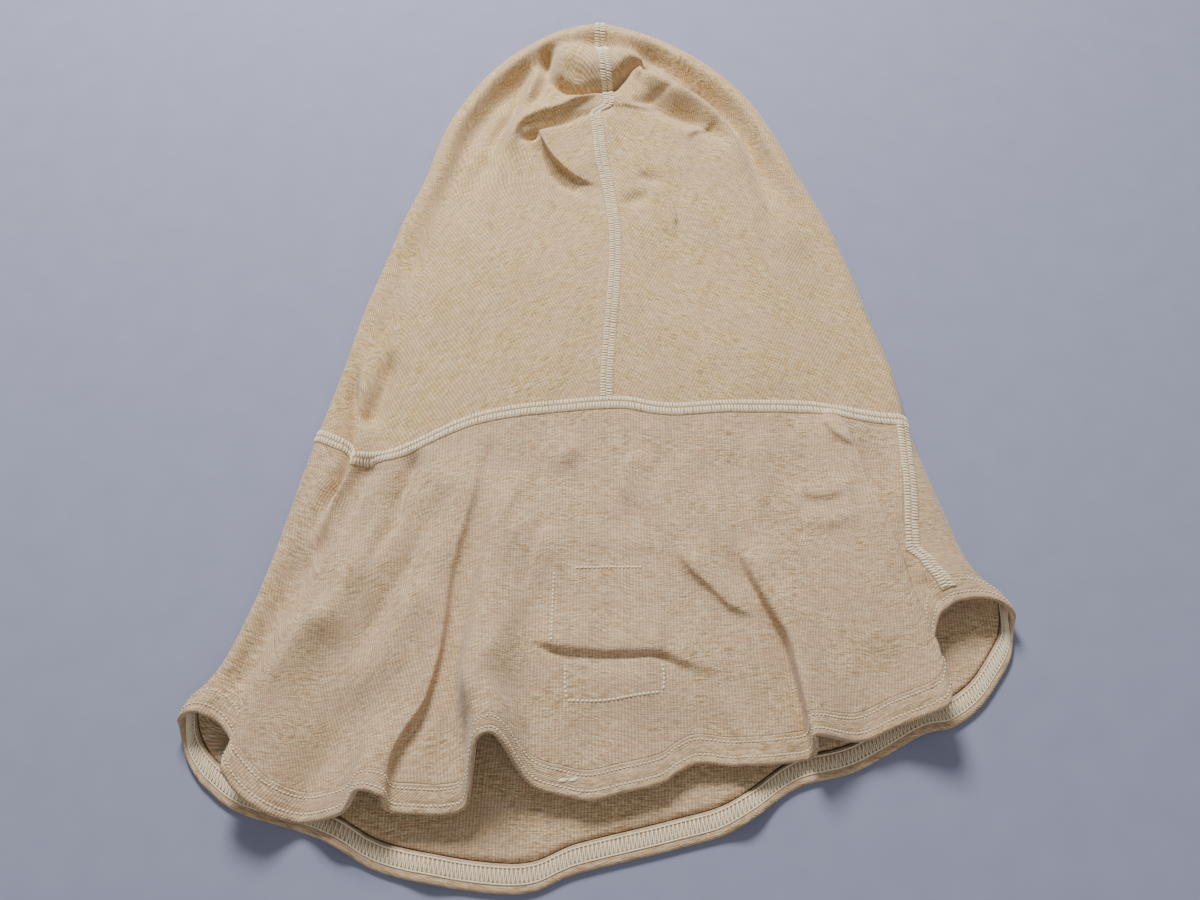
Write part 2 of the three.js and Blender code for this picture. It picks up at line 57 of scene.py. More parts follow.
# The shell under the folds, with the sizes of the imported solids.
HEM_DEPTH = 12.0
BIB_HEIGHT = 11.5
HEM_HEIGHT = 9.8
HEAD_HEIGHT = 13.0
CROWN_HEIGHT = 19.0
CROWN_START = 345.0
CROWN_FULL = 425.0
VALLEY_WIDTH = 9.0
SHELL_REACH = 45.0
FACE_CENTRE = (8.0, 298.0)
FACE_HALF = (58.0, 74.0)
FACE_BAND = (11.0, 2.6)  # width and thickness of the binding

# Rows from the crown to the side hems: the rim's place on the left and on the right, the radius of its rolled
# edge and the depth of the dip inside it.
SECTIONS = (
    ("name", "left_x", "left_y", "right_x", "right_y", "roll", "valley"),
    ("apex", 0, 474, 0, 474, 8.5, 1),
    ("crown1", -24, 468.5, 24, 467, 8.5, 3),
    ("crown2", -47, 453, 47, 454, 8.5, 6),
    ("crown3", -64, 435, 66, 438, 8.5, 7.5),
    ("crown4", -78, 413, 85, 415, 8.2, 7.5),
    ("temple", -88, 390, 98, 389, 7.8, 6.5),
    ("ear", -96, 359, 109, 361, 7, 4.5),
    ("jaw", -106, 330, 122, 329, 6.2, 2),
    ("cheek", -113, 304, 131, 299, 5.6, 1),
    ("chin", -121.5, 273, 138, 270, 5.2, 0.5),
    ("throat", -129, 236, 146, 238, 5, 0.5),
    ("neck", -137, 202, 149.5, 209, 5, 0.5),
    ("bib1", -143, 174, 154, 188, 5, 0.5),
    ("bib2", -150, 139, 160, 165, 5.3, 0.5),
    ("bib3", -157, 112, 165, 145, 5.8, 0.5),
    ("bib4", -166, 88, 171, 131.5, 6.4, 0.5),
    ("bib5", -176.5, 74.5, 181, 121, 7, 0.5),
    ("hem", -180, 65, 185.3, 111, 7.5, 0.5),
)
# Lines on the plan, the seam from the crown down and the others from left to right.
CENTRE_SEAM = (
    (0, 474), (1, 440), (4, 418), (5, 407), (-3, 401), (-1, 388), (2, 364), (6, 338), (8, 300), (3, 219),
)
NECK_LINE = (
    (-137, 202), (-126, 197), (-120, 194.5), (-116.5, 186), (-109, 186), (-91, 193), (-56, 210), (3, 219),
    (30, 215), (60, 216), (100, 216.5), (125, 212), (149.5, 209),
)
BACK_HEM_LINE = (
    (-180, 65), (-177.5, 67.2), (-174.5, 68.2), (-170, 68.3), (-165, 66.7), (-160.5, 64), (-156, 59),
    (-151, 50), (-146, 40), (-125, 25), (-88, 28), (-60, 28), (-35, 38), (-19, 36), (-5, 33.5), (8, 36),
    (25, 40), (33, 45), (42, 48.5), (58, 47), (75, 48), (92, 51), (112, 57), (124, 63), (137, 68), (141, 73),
    (144, 86), (146, 100), (149.6, 111), (155.7, 116), (162.6, 117.9), (169.4, 118.3), (175.5, 117.2),
    (180.5, 115), (183.8, 112.8), (185.3, 111),
)
FRONT_HEM_LINE = (
    (-180, 65), (-179.7, 61.5), (-178.2, 56.8), (-175, 50.5), (-171.5, 45.5), (-165, 39), (-150, 29.5),
    (-116, 19.5), (-86, 5.5), (-35, -1.8), (-9, 6), (30, 15), (56, 22.5), (82, 39), (108, 46), (137, 60.5),
    (152, 64.5), (165, 73), (174.8, 84.4), (180.6, 92.4), (184, 100.3), (185.1, 106), (185.3, 111),
)

# Folds of the upper layer, each along a curve through the points of its path. Seen along the path, near is
# the width to its right and far the width to its left. Height falls off over them as
# exp(-(distance / width) ** power). A negative rise is a crease. Lean moves the top across, towards far, by
# that many millimetres for each of rise, and draw moves the end back along the path. Fades are shares of it.
FOLD_NAMES = (
    "name", "path", "near", "far", "start_rise", "end_rise", "lean", "draw", "fade_in", "fade_out", "power",
)
BIB_FOLDS = (
    FOLD_NAMES,
    ("left_ridge", ((-118, 262), (-115, 242), (-113, 225), (-112, 208), (-111, 197), (-111, 187),
        (-114, 176), (-119, 164), (-124, 152), (-129, 140)), 4, 5, 3, 5.5, -0.8, 0, 0.3, 0.25, 2),
    ("left_overlap", ((-130, 256), (-124, 240), (-121, 225), (-118.5, 212), (-118, 199), (-119, 189),
        (-121, 180), (-125, 169), (-130, 157), (-135, 144)), 4, 3, -5, -7, 0, 0, 0.3, 0.3, 1.8),
    ("left_groove", ((-104.5, 251.5), (-105.3, 233.6), (-107.7, 216.7), (-110.5, 200.9)),
     3.5, 4, -4.5, -7, 0, 0, 0.3, 0.2, 1.8),
    ("left_under", ((-103, 190), (-109, 179), (-115, 167), (-121, 156), (-127, 143), (-133, 126)),
     4, 6, -5, -4, 0, 0, 0.15, 0.35, 1.8),
    ("left_rim_valley", ((-132, 150), (-140, 128), (-147, 106), (-155, 88), (-160, 74)),
     6, 8, -1.5, -4.5, 0, 0, 0.25, 0.15, 2),
    ("left_main", ((-130, 136), (-134, 112), (-139, 97), (-142, 84), (-144, 72), (-145, 62), (-147, 50),
        (-148, 38), (-149, 18)), 4.5, 20, 2.2, 12, -0.62, 0, 0.3, 0, 2.1),
    ("left_small_loop", ((-144, 66), (-148, 50), (-151, 38), (-153, 22)), 4, 6, 0.5, 4.5, 0, 7, 0.5, 0, 2),
    ("left_hem_valley", ((-101, 88), (-107, 68), (-113, 54), (-118, 44), (-122, 32), (-123, 18)),
     9, 6, -2.5, -7, 0, 0, 0.35, 0, 1.9),
    ("left_valley_a", ((-86, 193), (-90, 178), (-93, 167), (-94, 157), (-100, 145), (-107, 127)),
     4.5, 3, -4.6, -3.4, 0, 0, 0.15, 0.35, 1.7),
    ("left_valley_b", ((-70, 178), (-78, 160), (-85, 142), (-92, 124), (-101, 104), (-108, 84)),
     6, 5, -4, -5, 0, 0, 0.25, 0.3, 1.8),
    ("left_ridge_b", ((-97, 165), (-104, 146), (-113, 126), (-122, 104), (-128, 82)),
     6, 7, 3, 4, 0, 0, 0.3, 0.35, 2),
    ("left_ridge_c", ((-80, 134), (-88, 110), (-97, 88), (-104, 68)), 6, 7, 3, 4.5, 0, 0, 0.3, 0.35, 2),
    ("left_wrinkle_a", ((-104, 196), (-103, 182), (-106, 168), (-111, 152)),
     2.6, 6, 2.6, 2.2, -0.7, 0, 0.3, 0.4, 2),
    ("left_wrinkle_b", ((-120, 120), (-126, 104), (-133, 88), (-137, 74)),
     3, 8, 2.6, 3, -0.6, 0, 0.3, 0.4, 2),
    ("middle_wrinkle_a", ((-22, 160), (-26, 142), (-30, 124), (-33, 112)),
     3, 9, 2.6, 2.2, -0.6, 0, 0.35, 0.4, 2),
    ("middle_wrinkle_b", ((20, 196), (14, 184), (12, 170), (14, 158)), 3, 8, 2.2, 2, -0.6, 0, 0.35, 0.4, 2),
    ("right_wrinkle_a", ((70, 205), (74, 188), (75, 170), (72, 154)),
     3, 9, 2.4, 2.2, -0.6, 0, 0.35, 0.4, 2),
    ("low_wrinkle", ((50, 80), (56, 70), (60, 60), (62, 48)), 4, 9, 1.6, 3, -0.4, 0, 0.35, 0, 2),
    ("left_major", ((-60, 200), (-61, 178), (-66, 155), (-71, 132), (-73, 110), (-75, 93), (-80, 74),
        (-87, 62), (-91, 53), (-93, 43), (-93, 28), (-93, 10)), 18, 4.8, 2.2, 8, 0.8, 4, 0.15, 0, 1.9),
    ("middle_arch", ((-96, 74), (-99, 56), (-101, 40), (-102, 22)), 4, 9, 1, 5.5, -0.3, 8, 0.5, 0, 2),
    ("tube", ((-38, 176), (-44, 150), (-48, 118), (-50, 95), (-50, 75), (-46, 57), (-45, 36)),
     8, 12.5, 2.5, 17.5, -0.15, 22, 0.2, 0, 3.2),
    ("tube_dark", ((-29, 161), (-38, 140), (-41, 118), (-43, 98), (-44, 84)),
     4, 3.5, -0.8, -1.2, 0, 0, 0.3, 0.3, 1.6),
    ("short_a", ((-6.2, 200.7), (-13.7, 192.3), (-19.3, 187.1), (-24.9, 180.7)),
     9, 4.5, 2.2, 2.0, 0.1, 0, 0.45, 0.5, 2),
    ("short_b", ((-32.5, 183.1), (-39.3, 171.6), (-45.5, 158.3), (-51.8, 143.5)),
     9, 4, 2.8, 2.2, 0.2, 0, 0.4, 0.5, 2),
    ("upper_major", ((-51, 200), (-53, 188), (-55, 176)), 3, 3, -1.8, -1.0, 0, 0, 0.4, 0.4, 1.6),
    ("label_flap", ((-31, 101.5), (-22, 99.5), (-14, 98), (7, 97), (26, 97), (36, 93), (45, 90), (60, 87)),
     3.4, 15, 2.9, 2.0, -0.35, 0, 0.13, 0.25, 2),
    ("label_crease", ((-35, 99), (-25, 97), (-14, 94.5), (7, 93.5), (24, 93.5), (34, 90), (44, 87)),
     1.9, 1.9, -1.6, -1.3, 0, 0, 0.2, 0.25, 1.6),
    ("under_label", ((-20, 84), (5, 82), (30, 82)), 9, 7, 1.2, 1.2, 0, 0, 0.35, 0.35, 2),
    ("slant", ((35, 149), (43, 136), (52, 127), (61, 118), (76, 112)),
     3.8, 10, 3.4, 3.0, -0.8, 0, 0.3, 0.3, 2),
    ("right_ridge", ((64, 149), (73, 130), (81, 114), (87, 102), (90, 89), (92, 78), (94, 66), (96, 50),
        (98, 32)), 4.4, 10, 3.4, 11, -0.7, 9, 0.15, 0, 2.1),
    ("right_crease", ((58, 146), (67, 131), (75, 116), (81, 103), (83.5, 90), (85, 78), (87, 66), (88, 52),
        (89, 34)), 7, 3, -2.6, -4, 0, 0, 0.15, 0, 1.8),
    ("right_fine", ((84, 150), (87, 138), (88, 126), (85, 122)), 1.8, 5, 1.4, 1.2, -0.8, 0, 0.35, 0.35, 2),
    ("right_fine_low", ((80, 128), (86, 116), (94, 105)), 2, 6, 1.6, 1.4, -0.6, 0, 0.35, 0.35, 2),
    ("right_pleat", ((110, 217), (116, 196), (120, 174), (124, 158), (129, 139), (132, 122), (135, 109),
        (138, 98), (140, 86), (142, 68)), 17, 3.6, 4.5, 9.5, 0.7, 0, 0.12, 0, 2),
    ("right_pleat_foot", ((116, 206), (122.5, 190), (127.5, 172), (131.5, 156), (136.5, 138), (140, 122),
        (143, 109)), 2.6, 6, -2, -3.5, 0, 0, 0.2, 0.25, 1.8),
    ("right_hem_dip", ((118, 104), (121, 88), (125, 68)), 9, 8, -1, -2.5, 0, 0, 0.4, 0, 2),
    ("neck_right", ((107, 214), (110, 202), (115, 196), (121, 192)),
     2.6, 6, 2.0, 1.8, -0.9, 0, 0.3, 0.35, 2),
    ("right_cross_a", ((90, 174), (102, 170), (114, 172)), 3, 6, 2.0, 2.0, -0.4, 0, 0.4, 0.4, 2),
    ("right_cross_b", ((88, 160), (104, 156), (118, 160)), 4, 6, 1.6, 1.8, -0.3, 0, 0.4, 0.4, 2),
    ("bib_shelf", ((-12, 150), (10, 146), (34, 148)), 5, 8, 1.2, 1.1, 0, 0, 0.4, 0.4, 2),
    ("back_tack_pinch", ((-16, 50), (-13, 42), (-11, 30)), 5, 6, -0.6, -1.2, 0, 0, 0.4, 0, 2),
    ("right_rim_tuck", ((142, 130), (148, 122), (153, 113)), 4, 4, -1.8, -2.2, 0, 0, 0.3, 0.3, 1.8),
)
HEAD_FOLDS = (
    FOLD_NAMES,
    ("rim_valley_left", ((-39, 444), (-42, 431), (-46, 418), (-50, 405), (-57, 393), (-60, 380), (-64, 367),
        (-69, 355), (-73, 338), (-78, 315)), 8, 6, -7, -4.5, 0, 0, 0.2, 0.35, 1.8),
    ("rim_valley_deep", ((-44, 426), (-48, 411), (-53, 399), (-58, 388), (-62, 374)),
     4.5, 3.5, -4.5, -3, 0, 0, 0.3, 0.35, 1.8),
    ("pouch_left_valley", ((-28, 456), (-29.5, 446), (-30, 436), (-31, 427), (-34, 416), (-39, 407),
        (-45, 398)), 4.5, 4, -8, -5, 0, 0, 0.2, 0.35, 1.8),
    ("left_inner_ridge", ((-34, 450), (-36, 438), (-38, 425), (-41, 413), (-46, 400)),
     4, 3.5, 3, 3.5, 0, 0, 0.3, 0.35, 2),
    ("pouch_top_valley", ((-14, 462), (0, 456), (9, 453), (22, 449), (36, 441)),
     5, 5, -1.8, -1.8, 0, 0, 0.35, 0.35, 2),
    ("pouch", ((-13, 464), (-15, 452), (-13, 442), (-7, 436.5), (0, 435.5), (6, 437.5), (11, 442),
        (16, 447), (21, 451), (29, 449), (37, 442)), 13, 12, 11, 5, -0.35, 0, 0.25, 0.3, 2.5),
    ("pouch_crease", ((-29, 440), (-27.5, 428), (-21, 419.5), (-13, 415), (-4, 417.5), (6, 419.5),
        (10, 424), (14, 430), (18, 436), (23, 438.5), (28, 434), (34, 427), (40, 419)),
     3.4, 2.6, -9, -5, 0, 0, 0.2, 0.3, 1.9),
    ("right_inner_ridge", ((17, 424), (23, 430), (31, 423), (45, 414), (59, 406), (71, 393), (78, 379),
        (82, 364)), 5, 5, 6.5, 4, 0, 0, 0.2, 0.3, 2),
    ("rim_valley_right", ((30, 442), (45, 427), (59, 416), (70, 403), (77, 390), (83, 374), (89, 351),
        (92, 324), (94, 297)), 5.5, 5, -6, -3, 0, 0, 0.2, 0.35, 1.9),
    ("right_groove", ((14, 407), (24, 411), (31, 414), (40, 416), (47, 413)),
     2, 2, -1.8, -1.6, 0, 0, 0.3, 0.35, 1.7),
    ("right_valley", ((17, 413), (29, 410), (38, 404), (49, 398), (58, 393), (66, 385), (73, 372)),
     6, 5, -8, -5, 0, 0, 0.25, 0.4, 1.9),
    ("welt", ((-41, 371), (-48, 377), (-49, 386), (-44, 394), (-33, 400), (-22, 404), (-11, 411), (0, 417),
        (12, 417)), 3.4, 4.5, 4, 4.5, -0.4, 0, 0.2, 0.25, 2),
    ("welt_crease", ((-43, 381), (-38, 385), (-34, 388), (-27, 392), (-17, 396), (-6, 400.5), (7, 404),
        (18, 403)), 2.4, 2.4, -3.4, -0.8, 0, 0, 0.15, 0.35, 1.8),
    ("pocket", ((-46, 381), (-41, 384), (-37, 386), (-32, 389)), 2.4, 2.4, -3.5, -3, 0, 0, 0.4, 0.4, 1.7),
    ("tier_right", ((4, 408), (14, 407.5), (22, 406.5), (31, 406), (42, 401)),
     2.4, 6, 1.5, 1.5, -1.0, 0, 0.3, 0.3, 2),
    ("flap", ((-31, 391), (-27, 381), (-22, 371), (-15, 363), (-8, 357), (3, 352)),
     2.8, 15, 6.5, 4, -0.8, 0, 0.15, 0.35, 2),
    ("flap_crease", ((-37, 387), (-33.5, 376), (-29, 366), (-23, 357), (-15, 350), (-5, 344)),
     3, 2.6, -3.6, -3.4, 0, 0, 0.2, 0.35, 1.8),
    ("small_fold", ((45, 381), (49, 386), (54, 391), (60, 395), (66, 397)),
     2.5, 6, 2.2, 2.0, -0.7, 0, 0.35, 0.35, 2),
    ("patch_a", ((19, 359), (26, 357), (33, 353)), 3, 3, -2.2, -2.2, 0, 0, 0.4, 0.4, 2),
    ("patch_b", ((10, 337), (19, 343), (29, 345)), 5, 4, -2.6, -2.4, 0, 0, 0.4, 0.4, 2),
    ("fine_right", ((27, 356), (33, 350), (37, 340), (39, 330), (38, 316)),
     7, 1.5, 2.2, 1.8, 0.5, 0, 0.3, 0.35, 2),
    ("fine_arc", ((0, 400), (2, 391), (6, 385), (13, 382)), 2, 4, 1.0, 0.8, 0, 0, 0.3, 0.4, 2),
    ("left_shoulder", ((-78, 350), (-86, 320), (-92, 290)), 7, 7, -0.8, -1.2, 0, 0, 0.3, 0.3, 2),
    ("right_shoulder", ((100, 320), (110, 290), (118, 262)), 8, 8, -1.2, -1.2, 0, 0, 0.3, 0.3, 2),
)
FRONT_FOLDS = (
    FOLD_NAMES,
    ("left_lift", ((-104, 44), (-107, 28), (-110, 12)), 7, 7, 0.6, 4, 0, 0, 0.5, 0, 2),
    ("left_lift_low", ((-66, 26), (-68, 12), (-70, -4)), 8, 8, 0.3, 2, 0, 0, 0.5, 0, 2),
    ("middle_lift", ((52, 56), (58, 40), (63, 24)), 9, 9, 0.6, 3.6, 0, 0, 0.5, 0, 2),
    ("right_lift", ((126, 82), (134, 68), (142, 52)), 9, 9, 0.6, 3.6, 0, 0, 0.5, 0, 2),
    ("inner_crease", ((164, 124), (168, 114), (171, 104)), 3, 2, 0.5, 2.0, 0, 0, 0.3, 0.3, 1.6),
)
BIB_UNEVENNESS = 1.6  # the bib lies less evenly than the head part
FOLD_RIM = 13.0  # folds of the upper layer die away over this distance from the rim
FOLD_REACH = 2.6  # widths either side of a path within which a fold is worked out
DRAW_POWER = 2
CENTRE_START = 0.125  # the share at which the centre seam has left the middle of its row
NECK_BEND_START = 0.55  # the share of the head's depth where its rows begin to bend to the neck seam
NECK_BLEND = 0.1  # the change from head to bib, either side of the neck seam
ROLL_BLEND = 1.7  # rolls in from the rim, where the rim's own normals give way to measured ones

# Ways round the hood are 0 at the left rim, 1 at the right rim and 2 at the left rim again. 0 to 1 is the
# upper layer. Down is a share of the bib's depth.
LEFT_SEAM = -0.07
RIGHT_SEAM = (
    ("down", "way"),
    (0, 0.965), (0.19, 0.938), (0.31, 0.922), (0.43, 0.908), (0.53, 0.899), (0.56, 0.896),
    (0.6, 0.9), (0.64, 0.904), (0.74, 0.9), (0.85, 0.894), (1, 0.896),
)
TOP_CENTRE = 0.5
UNDER_CENTRE = 1.5
RIM_ZONE = 0.07  # of a way, in which the cloth turns over the rim
SMALL = 1e-3  # the difference that slopes are measured over
HEM_PLACE = 0.99  # the share where distances from the hem's edge are measured
RIM_RUN_ON = 12  # end spans by which the line of the rim is carried on past both hems

# Grid steps of the panels. All are even, because the inside of the cloth has every second line.
HEAD_STEPS = {"rows": 280, "top": 138, "rim": 30, "under": 50}
HEAD_ROW_POWER = 1.05  # above 1, rows are closer together near the crown
BIB_STEPS = {"rows": 168, "top": 322, "rim": 28, "right_rim": 24, "under": 150}

# Unevenness of the laid cloth: wavelengths across and along, and height, on a plane bent by slower noise.
RIPPLE_BEND = 9
RIPPLE_BEND_WAVE = 40
RIPPLE_BEND_SEEDS = (5, 6)
RIPPLES = (
    ("seed", "across", "along", "height"),
    (11, 48, 60, 1.2),
    (12, 19, 30, 0.8),
    (13, 8, 15, 0.3),
)


def columns(table):
    """A table whose first row holds the names, as a dictionary of columns."""
    names, *rows = table
    return {name: [row[place] for row in rows] for place, name in enumerate(names)}


def rows_of(table):
    """A table whose first row holds the names, as a list of dictionaries."""
    names, *rows = table
    return [dict(zip(names, row)) for row in rows]


def smooth(value):
    """3 v^2 - 2 v^3 with v held between 0 and 1."""
    value = np.clip(value, 0, 1)
    return value * value * (3 - 2 * value)


def mix(first, second, share):
    return first + (second - first) * share


def curve_through(points, per_span=12):
    """Points on a uniform Catmull-Rom curve: for neighbours a, b, c, d a span runs from b to c as
    (2b + (c - a) t + (2a - 5b + 4c - d) t^2 + (3b - 3c + d - a) t^3) / 2."""
    knots = np.asarray(points, float)
    knots = np.vstack([2 * knots[0] - knots[1], knots, 2 * knots[-1] - knots[-2]])
    a, b, c, d = knots[:-3, None], knots[1:-2, None], knots[2:-1, None], knots[3:, None]
    t = (np.arange(per_span) / per_span)[None, :, None]
    spans = (2 * b + (c - a) * t + (2 * a - 5 * b + 4 * c - d) * t**2 + (3 * b - 3 * c + d - a) * t**3) / 2
    return np.vstack([spans.reshape(-1, knots.shape[1]), knots[-2]])


SECTION = columns(SECTIONS)
SECTION_COUNT = len(SECTION["name"])
NECK_SHARE = SECTION["name"].index("neck") / (SECTION_COUNT - 1)
LEFT_RIM = list(zip(SECTION["left_x"], SECTION["left_y"]))
RIGHT_RIM = list(zip(SECTION["right_x"], SECTION["right_y"]))
RIM = curve_through(LEFT_RIM[::-1] + RIGHT_RIM[1:])
LONG_RIM = np.vstack([
    RIM[:1] + (RIM[0] - RIM[2]) * RIM_RUN_ON, RIM, RIM[-1:] + (RIM[-1] - RIM[-3]) * RIM_RUN_ON,
])
LONG_RIM_RUNS = np.gradient(LONG_RIM, axis=0)
LONG_RIM_PLACES = np.concatenate([[0], np.cumsum(np.hypot(*np.diff(LONG_RIM, axis=0).T))])
NECK_CURVE = curve_through(NECK_LINE)
BACK_HEM_CURVE = curve_through(BACK_HEM_LINE)
FRONT_HEM_CURVE = curve_through(FRONT_HEM_LINE)
CENTRE_CURVE = curve_through(CENTRE_SEAM)[::-1]


def rim_point(place):
    """The outline at a share of its sections, from the left hem over the crown to the right hem."""
    places = np.linspace(0, 1, len(RIM))
    return np.stack([np.interp(place, places, RIM[:, axis]) for axis in (0, 1)], axis=-1)


def path_measure(x, y, path):
    """Distance to a path of straight pieces, positive on its left, and the share of its length at the
    nearest point. For each piece the nearest point is the foot of the perpendicular, held to its ends."""
    lengths = np.hypot(*np.diff(path, axis=0).T)
    starts = np.concatenate([[0], np.cumsum(lengths)])
    best = np.full(x.shape, np.inf)
    side = np.ones(x.shape)
    share = np.zeros(x.shape)
    for place, length in enumerate(lengths):
        run = (path[place + 1] - path[place]) / length
        off_x = x - path[place, 0]
        off_y = y - path[place, 1]
        foot = np.clip(off_x * run[0] + off_y * run[1], 0, length)
        distance = np.hypot(off_x - foot * run[0], off_y - foot * run[1])
        nearer = distance < best
        best = np.where(nearer, distance, best)
        side = np.where(nearer, np.where(run[0] * off_y - run[1] * off_x < 0, -1, 1), side)
        share = np.where(nearer, (starts[place] + foot) / starts[-1], share)
    return best * side, share


def section_value(name, share):
    return np.interp(np.clip(share, 0, 1) * (SECTION_COUNT - 1), np.arange(SECTION_COUNT), SECTION[name])


def across_share(way):
    """Share of the width at a way across: quadratic near both rims, where the cloth turns over, and even
    between."""
    edge = RIM_ZONE
    near_left = way**2 / (2 * edge)
    near_right = 1 - edge - (1 - way) ** 2 / (2 * edge)
    middle = way - edge / 2
    return np.where(way < edge, near_left, np.where(way > 1 - edge, near_right, middle)) / (1 - edge)


def centre_offset(left, right):
    """How far the centre seam is off the middle of a row between two rim points."""
    middle_y = (left[..., 1] + right[..., 1]) / 2
    return np.interp(middle_y, CENTRE_CURVE[:, 1], CENTRE_CURVE[:, 0]) - (left[..., 0] + right[..., 0]) / 2


def plan_point(across, share, upper):
    """The place in plan. Rows of the head run straight between the rims, bent over the centre seam and to
    the line of the neck seam. The bib blends the neck line into the hem line and follows the rims."""
    left, right = rim_point(0.5 - share / 2), rim_point(0.5 + share / 2)
    neck_left, neck_right = rim_point(0.5 - NECK_SHARE / 2), rim_point(0.5 + NECK_SHARE / 2)
    hem_left, hem_right = rim_point(0.0), rim_point(1.0)
    wide = across[..., None]
    pull = 1 - np.abs(2 * across - 1)

    neck = mix(neck_left, neck_right, wide)
    neck_x = neck[..., 0] + centre_offset(neck_left, neck_right) * pull
    neck_y = np.interp(neck_x, NECK_CURVE[:, 0], NECK_CURVE[:, 1])
    straight_y = neck[..., 1].copy()
    neck[..., 0] = np.where(upper, neck_x, neck[..., 0])
    neck[..., 1] = np.where(upper, neck_y, neck[..., 1])

    head = mix(left, right, wide)
    to_neck = smooth((share / NECK_SHARE - NECK_BEND_START) / (1 - NECK_BEND_START))
    bend_x = centre_offset(left, right) * pull * smooth(share / CENTRE_START)
    head[..., 0] += np.where(upper, bend_x, 0)
    head[..., 1] += np.where(upper, (neck[..., 1] - straight_y) * to_neck, 0)

    down = np.clip((share - NECK_SHARE) / (1 - NECK_SHARE), 0, None)[..., None]
    hem = mix(hem_left, hem_right, wide)
    back_y = np.interp(hem[..., 0], BACK_HEM_CURVE[:, 0], BACK_HEM_CURVE[:, 1])
    front_y = np.interp(hem[..., 0], FRONT_HEM_CURVE[:, 0], FRONT_HEM_CURVE[:, 1])
    hem[..., 1] = np.where(upper, back_y, front_y)
    bib = mix(neck, hem, down)
    bib += (left - mix(neck_left, hem_left, down)) * (1 - wide)
    bib += (right - mix(neck_right, hem_right, down)) * wide
    return np.where((share <= NECK_SHARE)[..., None], head, bib)


def body_height(y, share):
    """Height over the middle of the upper layer, rising over the crown and falling to the hem."""
    bib = mix(BIB_HEIGHT, HEM_HEIGHT, smooth((share - NECK_SHARE) / (1 - NECK_SHARE)))
    head = mix(HEAD_HEIGHT, CROWN_HEIGHT, smooth((y - CROWN_START) / (CROWN_FULL - CROWN_START)))
    return mix(head, bib, smooth((share / NECK_SHARE - 1 + NECK_BLEND) / (2 * NECK_BLEND)))


def value_noise(x, y, seed):
    """Smooth noise from -1 to 1: random heights at whole numbers, joined by smooth steps both ways."""
    size = 64  # whole numbers before the heights repeat
    heights = np.random.default_rng(seed).uniform(-1, 1, (size, size))
    cell_x, cell_y = np.floor(x).astype(int), np.floor(y).astype(int)
    share_x, share_y = smooth(x - cell_x), smooth(y - cell_y)
    left, right = cell_x % size, (cell_x + 1) % size
    low, high = cell_y % size, (cell_y + 1) % size
    lower = mix(heights[left, low], heights[right, low], share_x)
    upper = mix(heights[left, high], heights[right, high], share_x)
    return mix(lower, upper, share_y)


def ripple(x, y):
    """Unevenness of cloth: the sum of the noises of the table, on a plane that is itself bent by noise."""
    slow_x, slow_y = x / RIPPLE_BEND_WAVE, y / RIPPLE_BEND_WAVE
    bend_x = x + RIPPLE_BEND * value_noise(slow_x, slow_y, RIPPLE_BEND_SEEDS[0])
    bend_y = y + RIPPLE_BEND * value_noise(slow_x + 7, slow_y, RIPPLE_BEND_SEEDS[1])
    height = 0
    for row in rows_of(RIPPLES):
        noise = value_noise(bend_x / row["across"], bend_y / row["along"], row["seed"])
        height = height + row["height"] * noise
    return height


def prepared(*tables):
    """Fold rows with their paths as curves."""
    folds = [row for table in tables for row in rows_of(table)]
    for fold in folds:
        fold["curve"] = curve_through(fold["path"], 5)
    return folds


BACK_FOLDS = prepared(BIB_FOLDS, HEAD_FOLDS)
UNDER_FOLDS = prepared(FRONT_FOLDS)


def fold_shift(x, y, folds):
    """The sum over folds of exp(-(side / width) ** power) times its fades, times (lean across the path, draw
    back along it, rise)."""
    shift = np.zeros(x.shape + (3,))
    for fold in folds:
        curve = fold["curve"]
        reach = FOLD_REACH * max(fold["near"], fold["far"])
        close = (x > curve[:, 0].min() - reach) & (x < curve[:, 0].max() + reach)
        close &= (y > curve[:, 1].min() - reach) & (y < curve[:, 1].max() + reach)
        if not close.any():
            continue
        side, share = path_measure(x[close], y[close], curve)
        width = np.where(side < 0, fold["near"], fold["far"])
        height = np.exp(-((np.abs(side) / width) ** fold["power"])) * smooth(share / fold["fade_in"])
        if fold["fade_out"] > 0:
            height = height * smooth((1 - share) / fold["fade_out"])
        slopes = np.gradient(curve, axis=0)
        slopes /= np.hypot(*slopes.T)[:, None]
        places = np.linspace(0, 1, len(curve))
        along_x = np.interp(share, places, slopes[:, 0])
        along_y = np.interp(share, places, slopes[:, 1])
        rise = mix(fold["start_rise"], fold["end_rise"], share)
        lean = fold["lean"] * np.abs(rise)
        draw = fold["draw"] * share**DRAW_POWER
        move = np.stack([-along_y * lean - along_x * draw, along_x * lean - along_y * draw, rise], axis=-1)
        shift[close] += height[:, None] * move
    return shift


def plan_of(way, share):
    """The place in plan at a way and share, and whether it is on the upper layer."""
    turn = np.mod(way, 2)
    upper = turn <= 1
    return plan_point(across_share(np.where(upper, turn, 2 - turn)), share, upper), upper


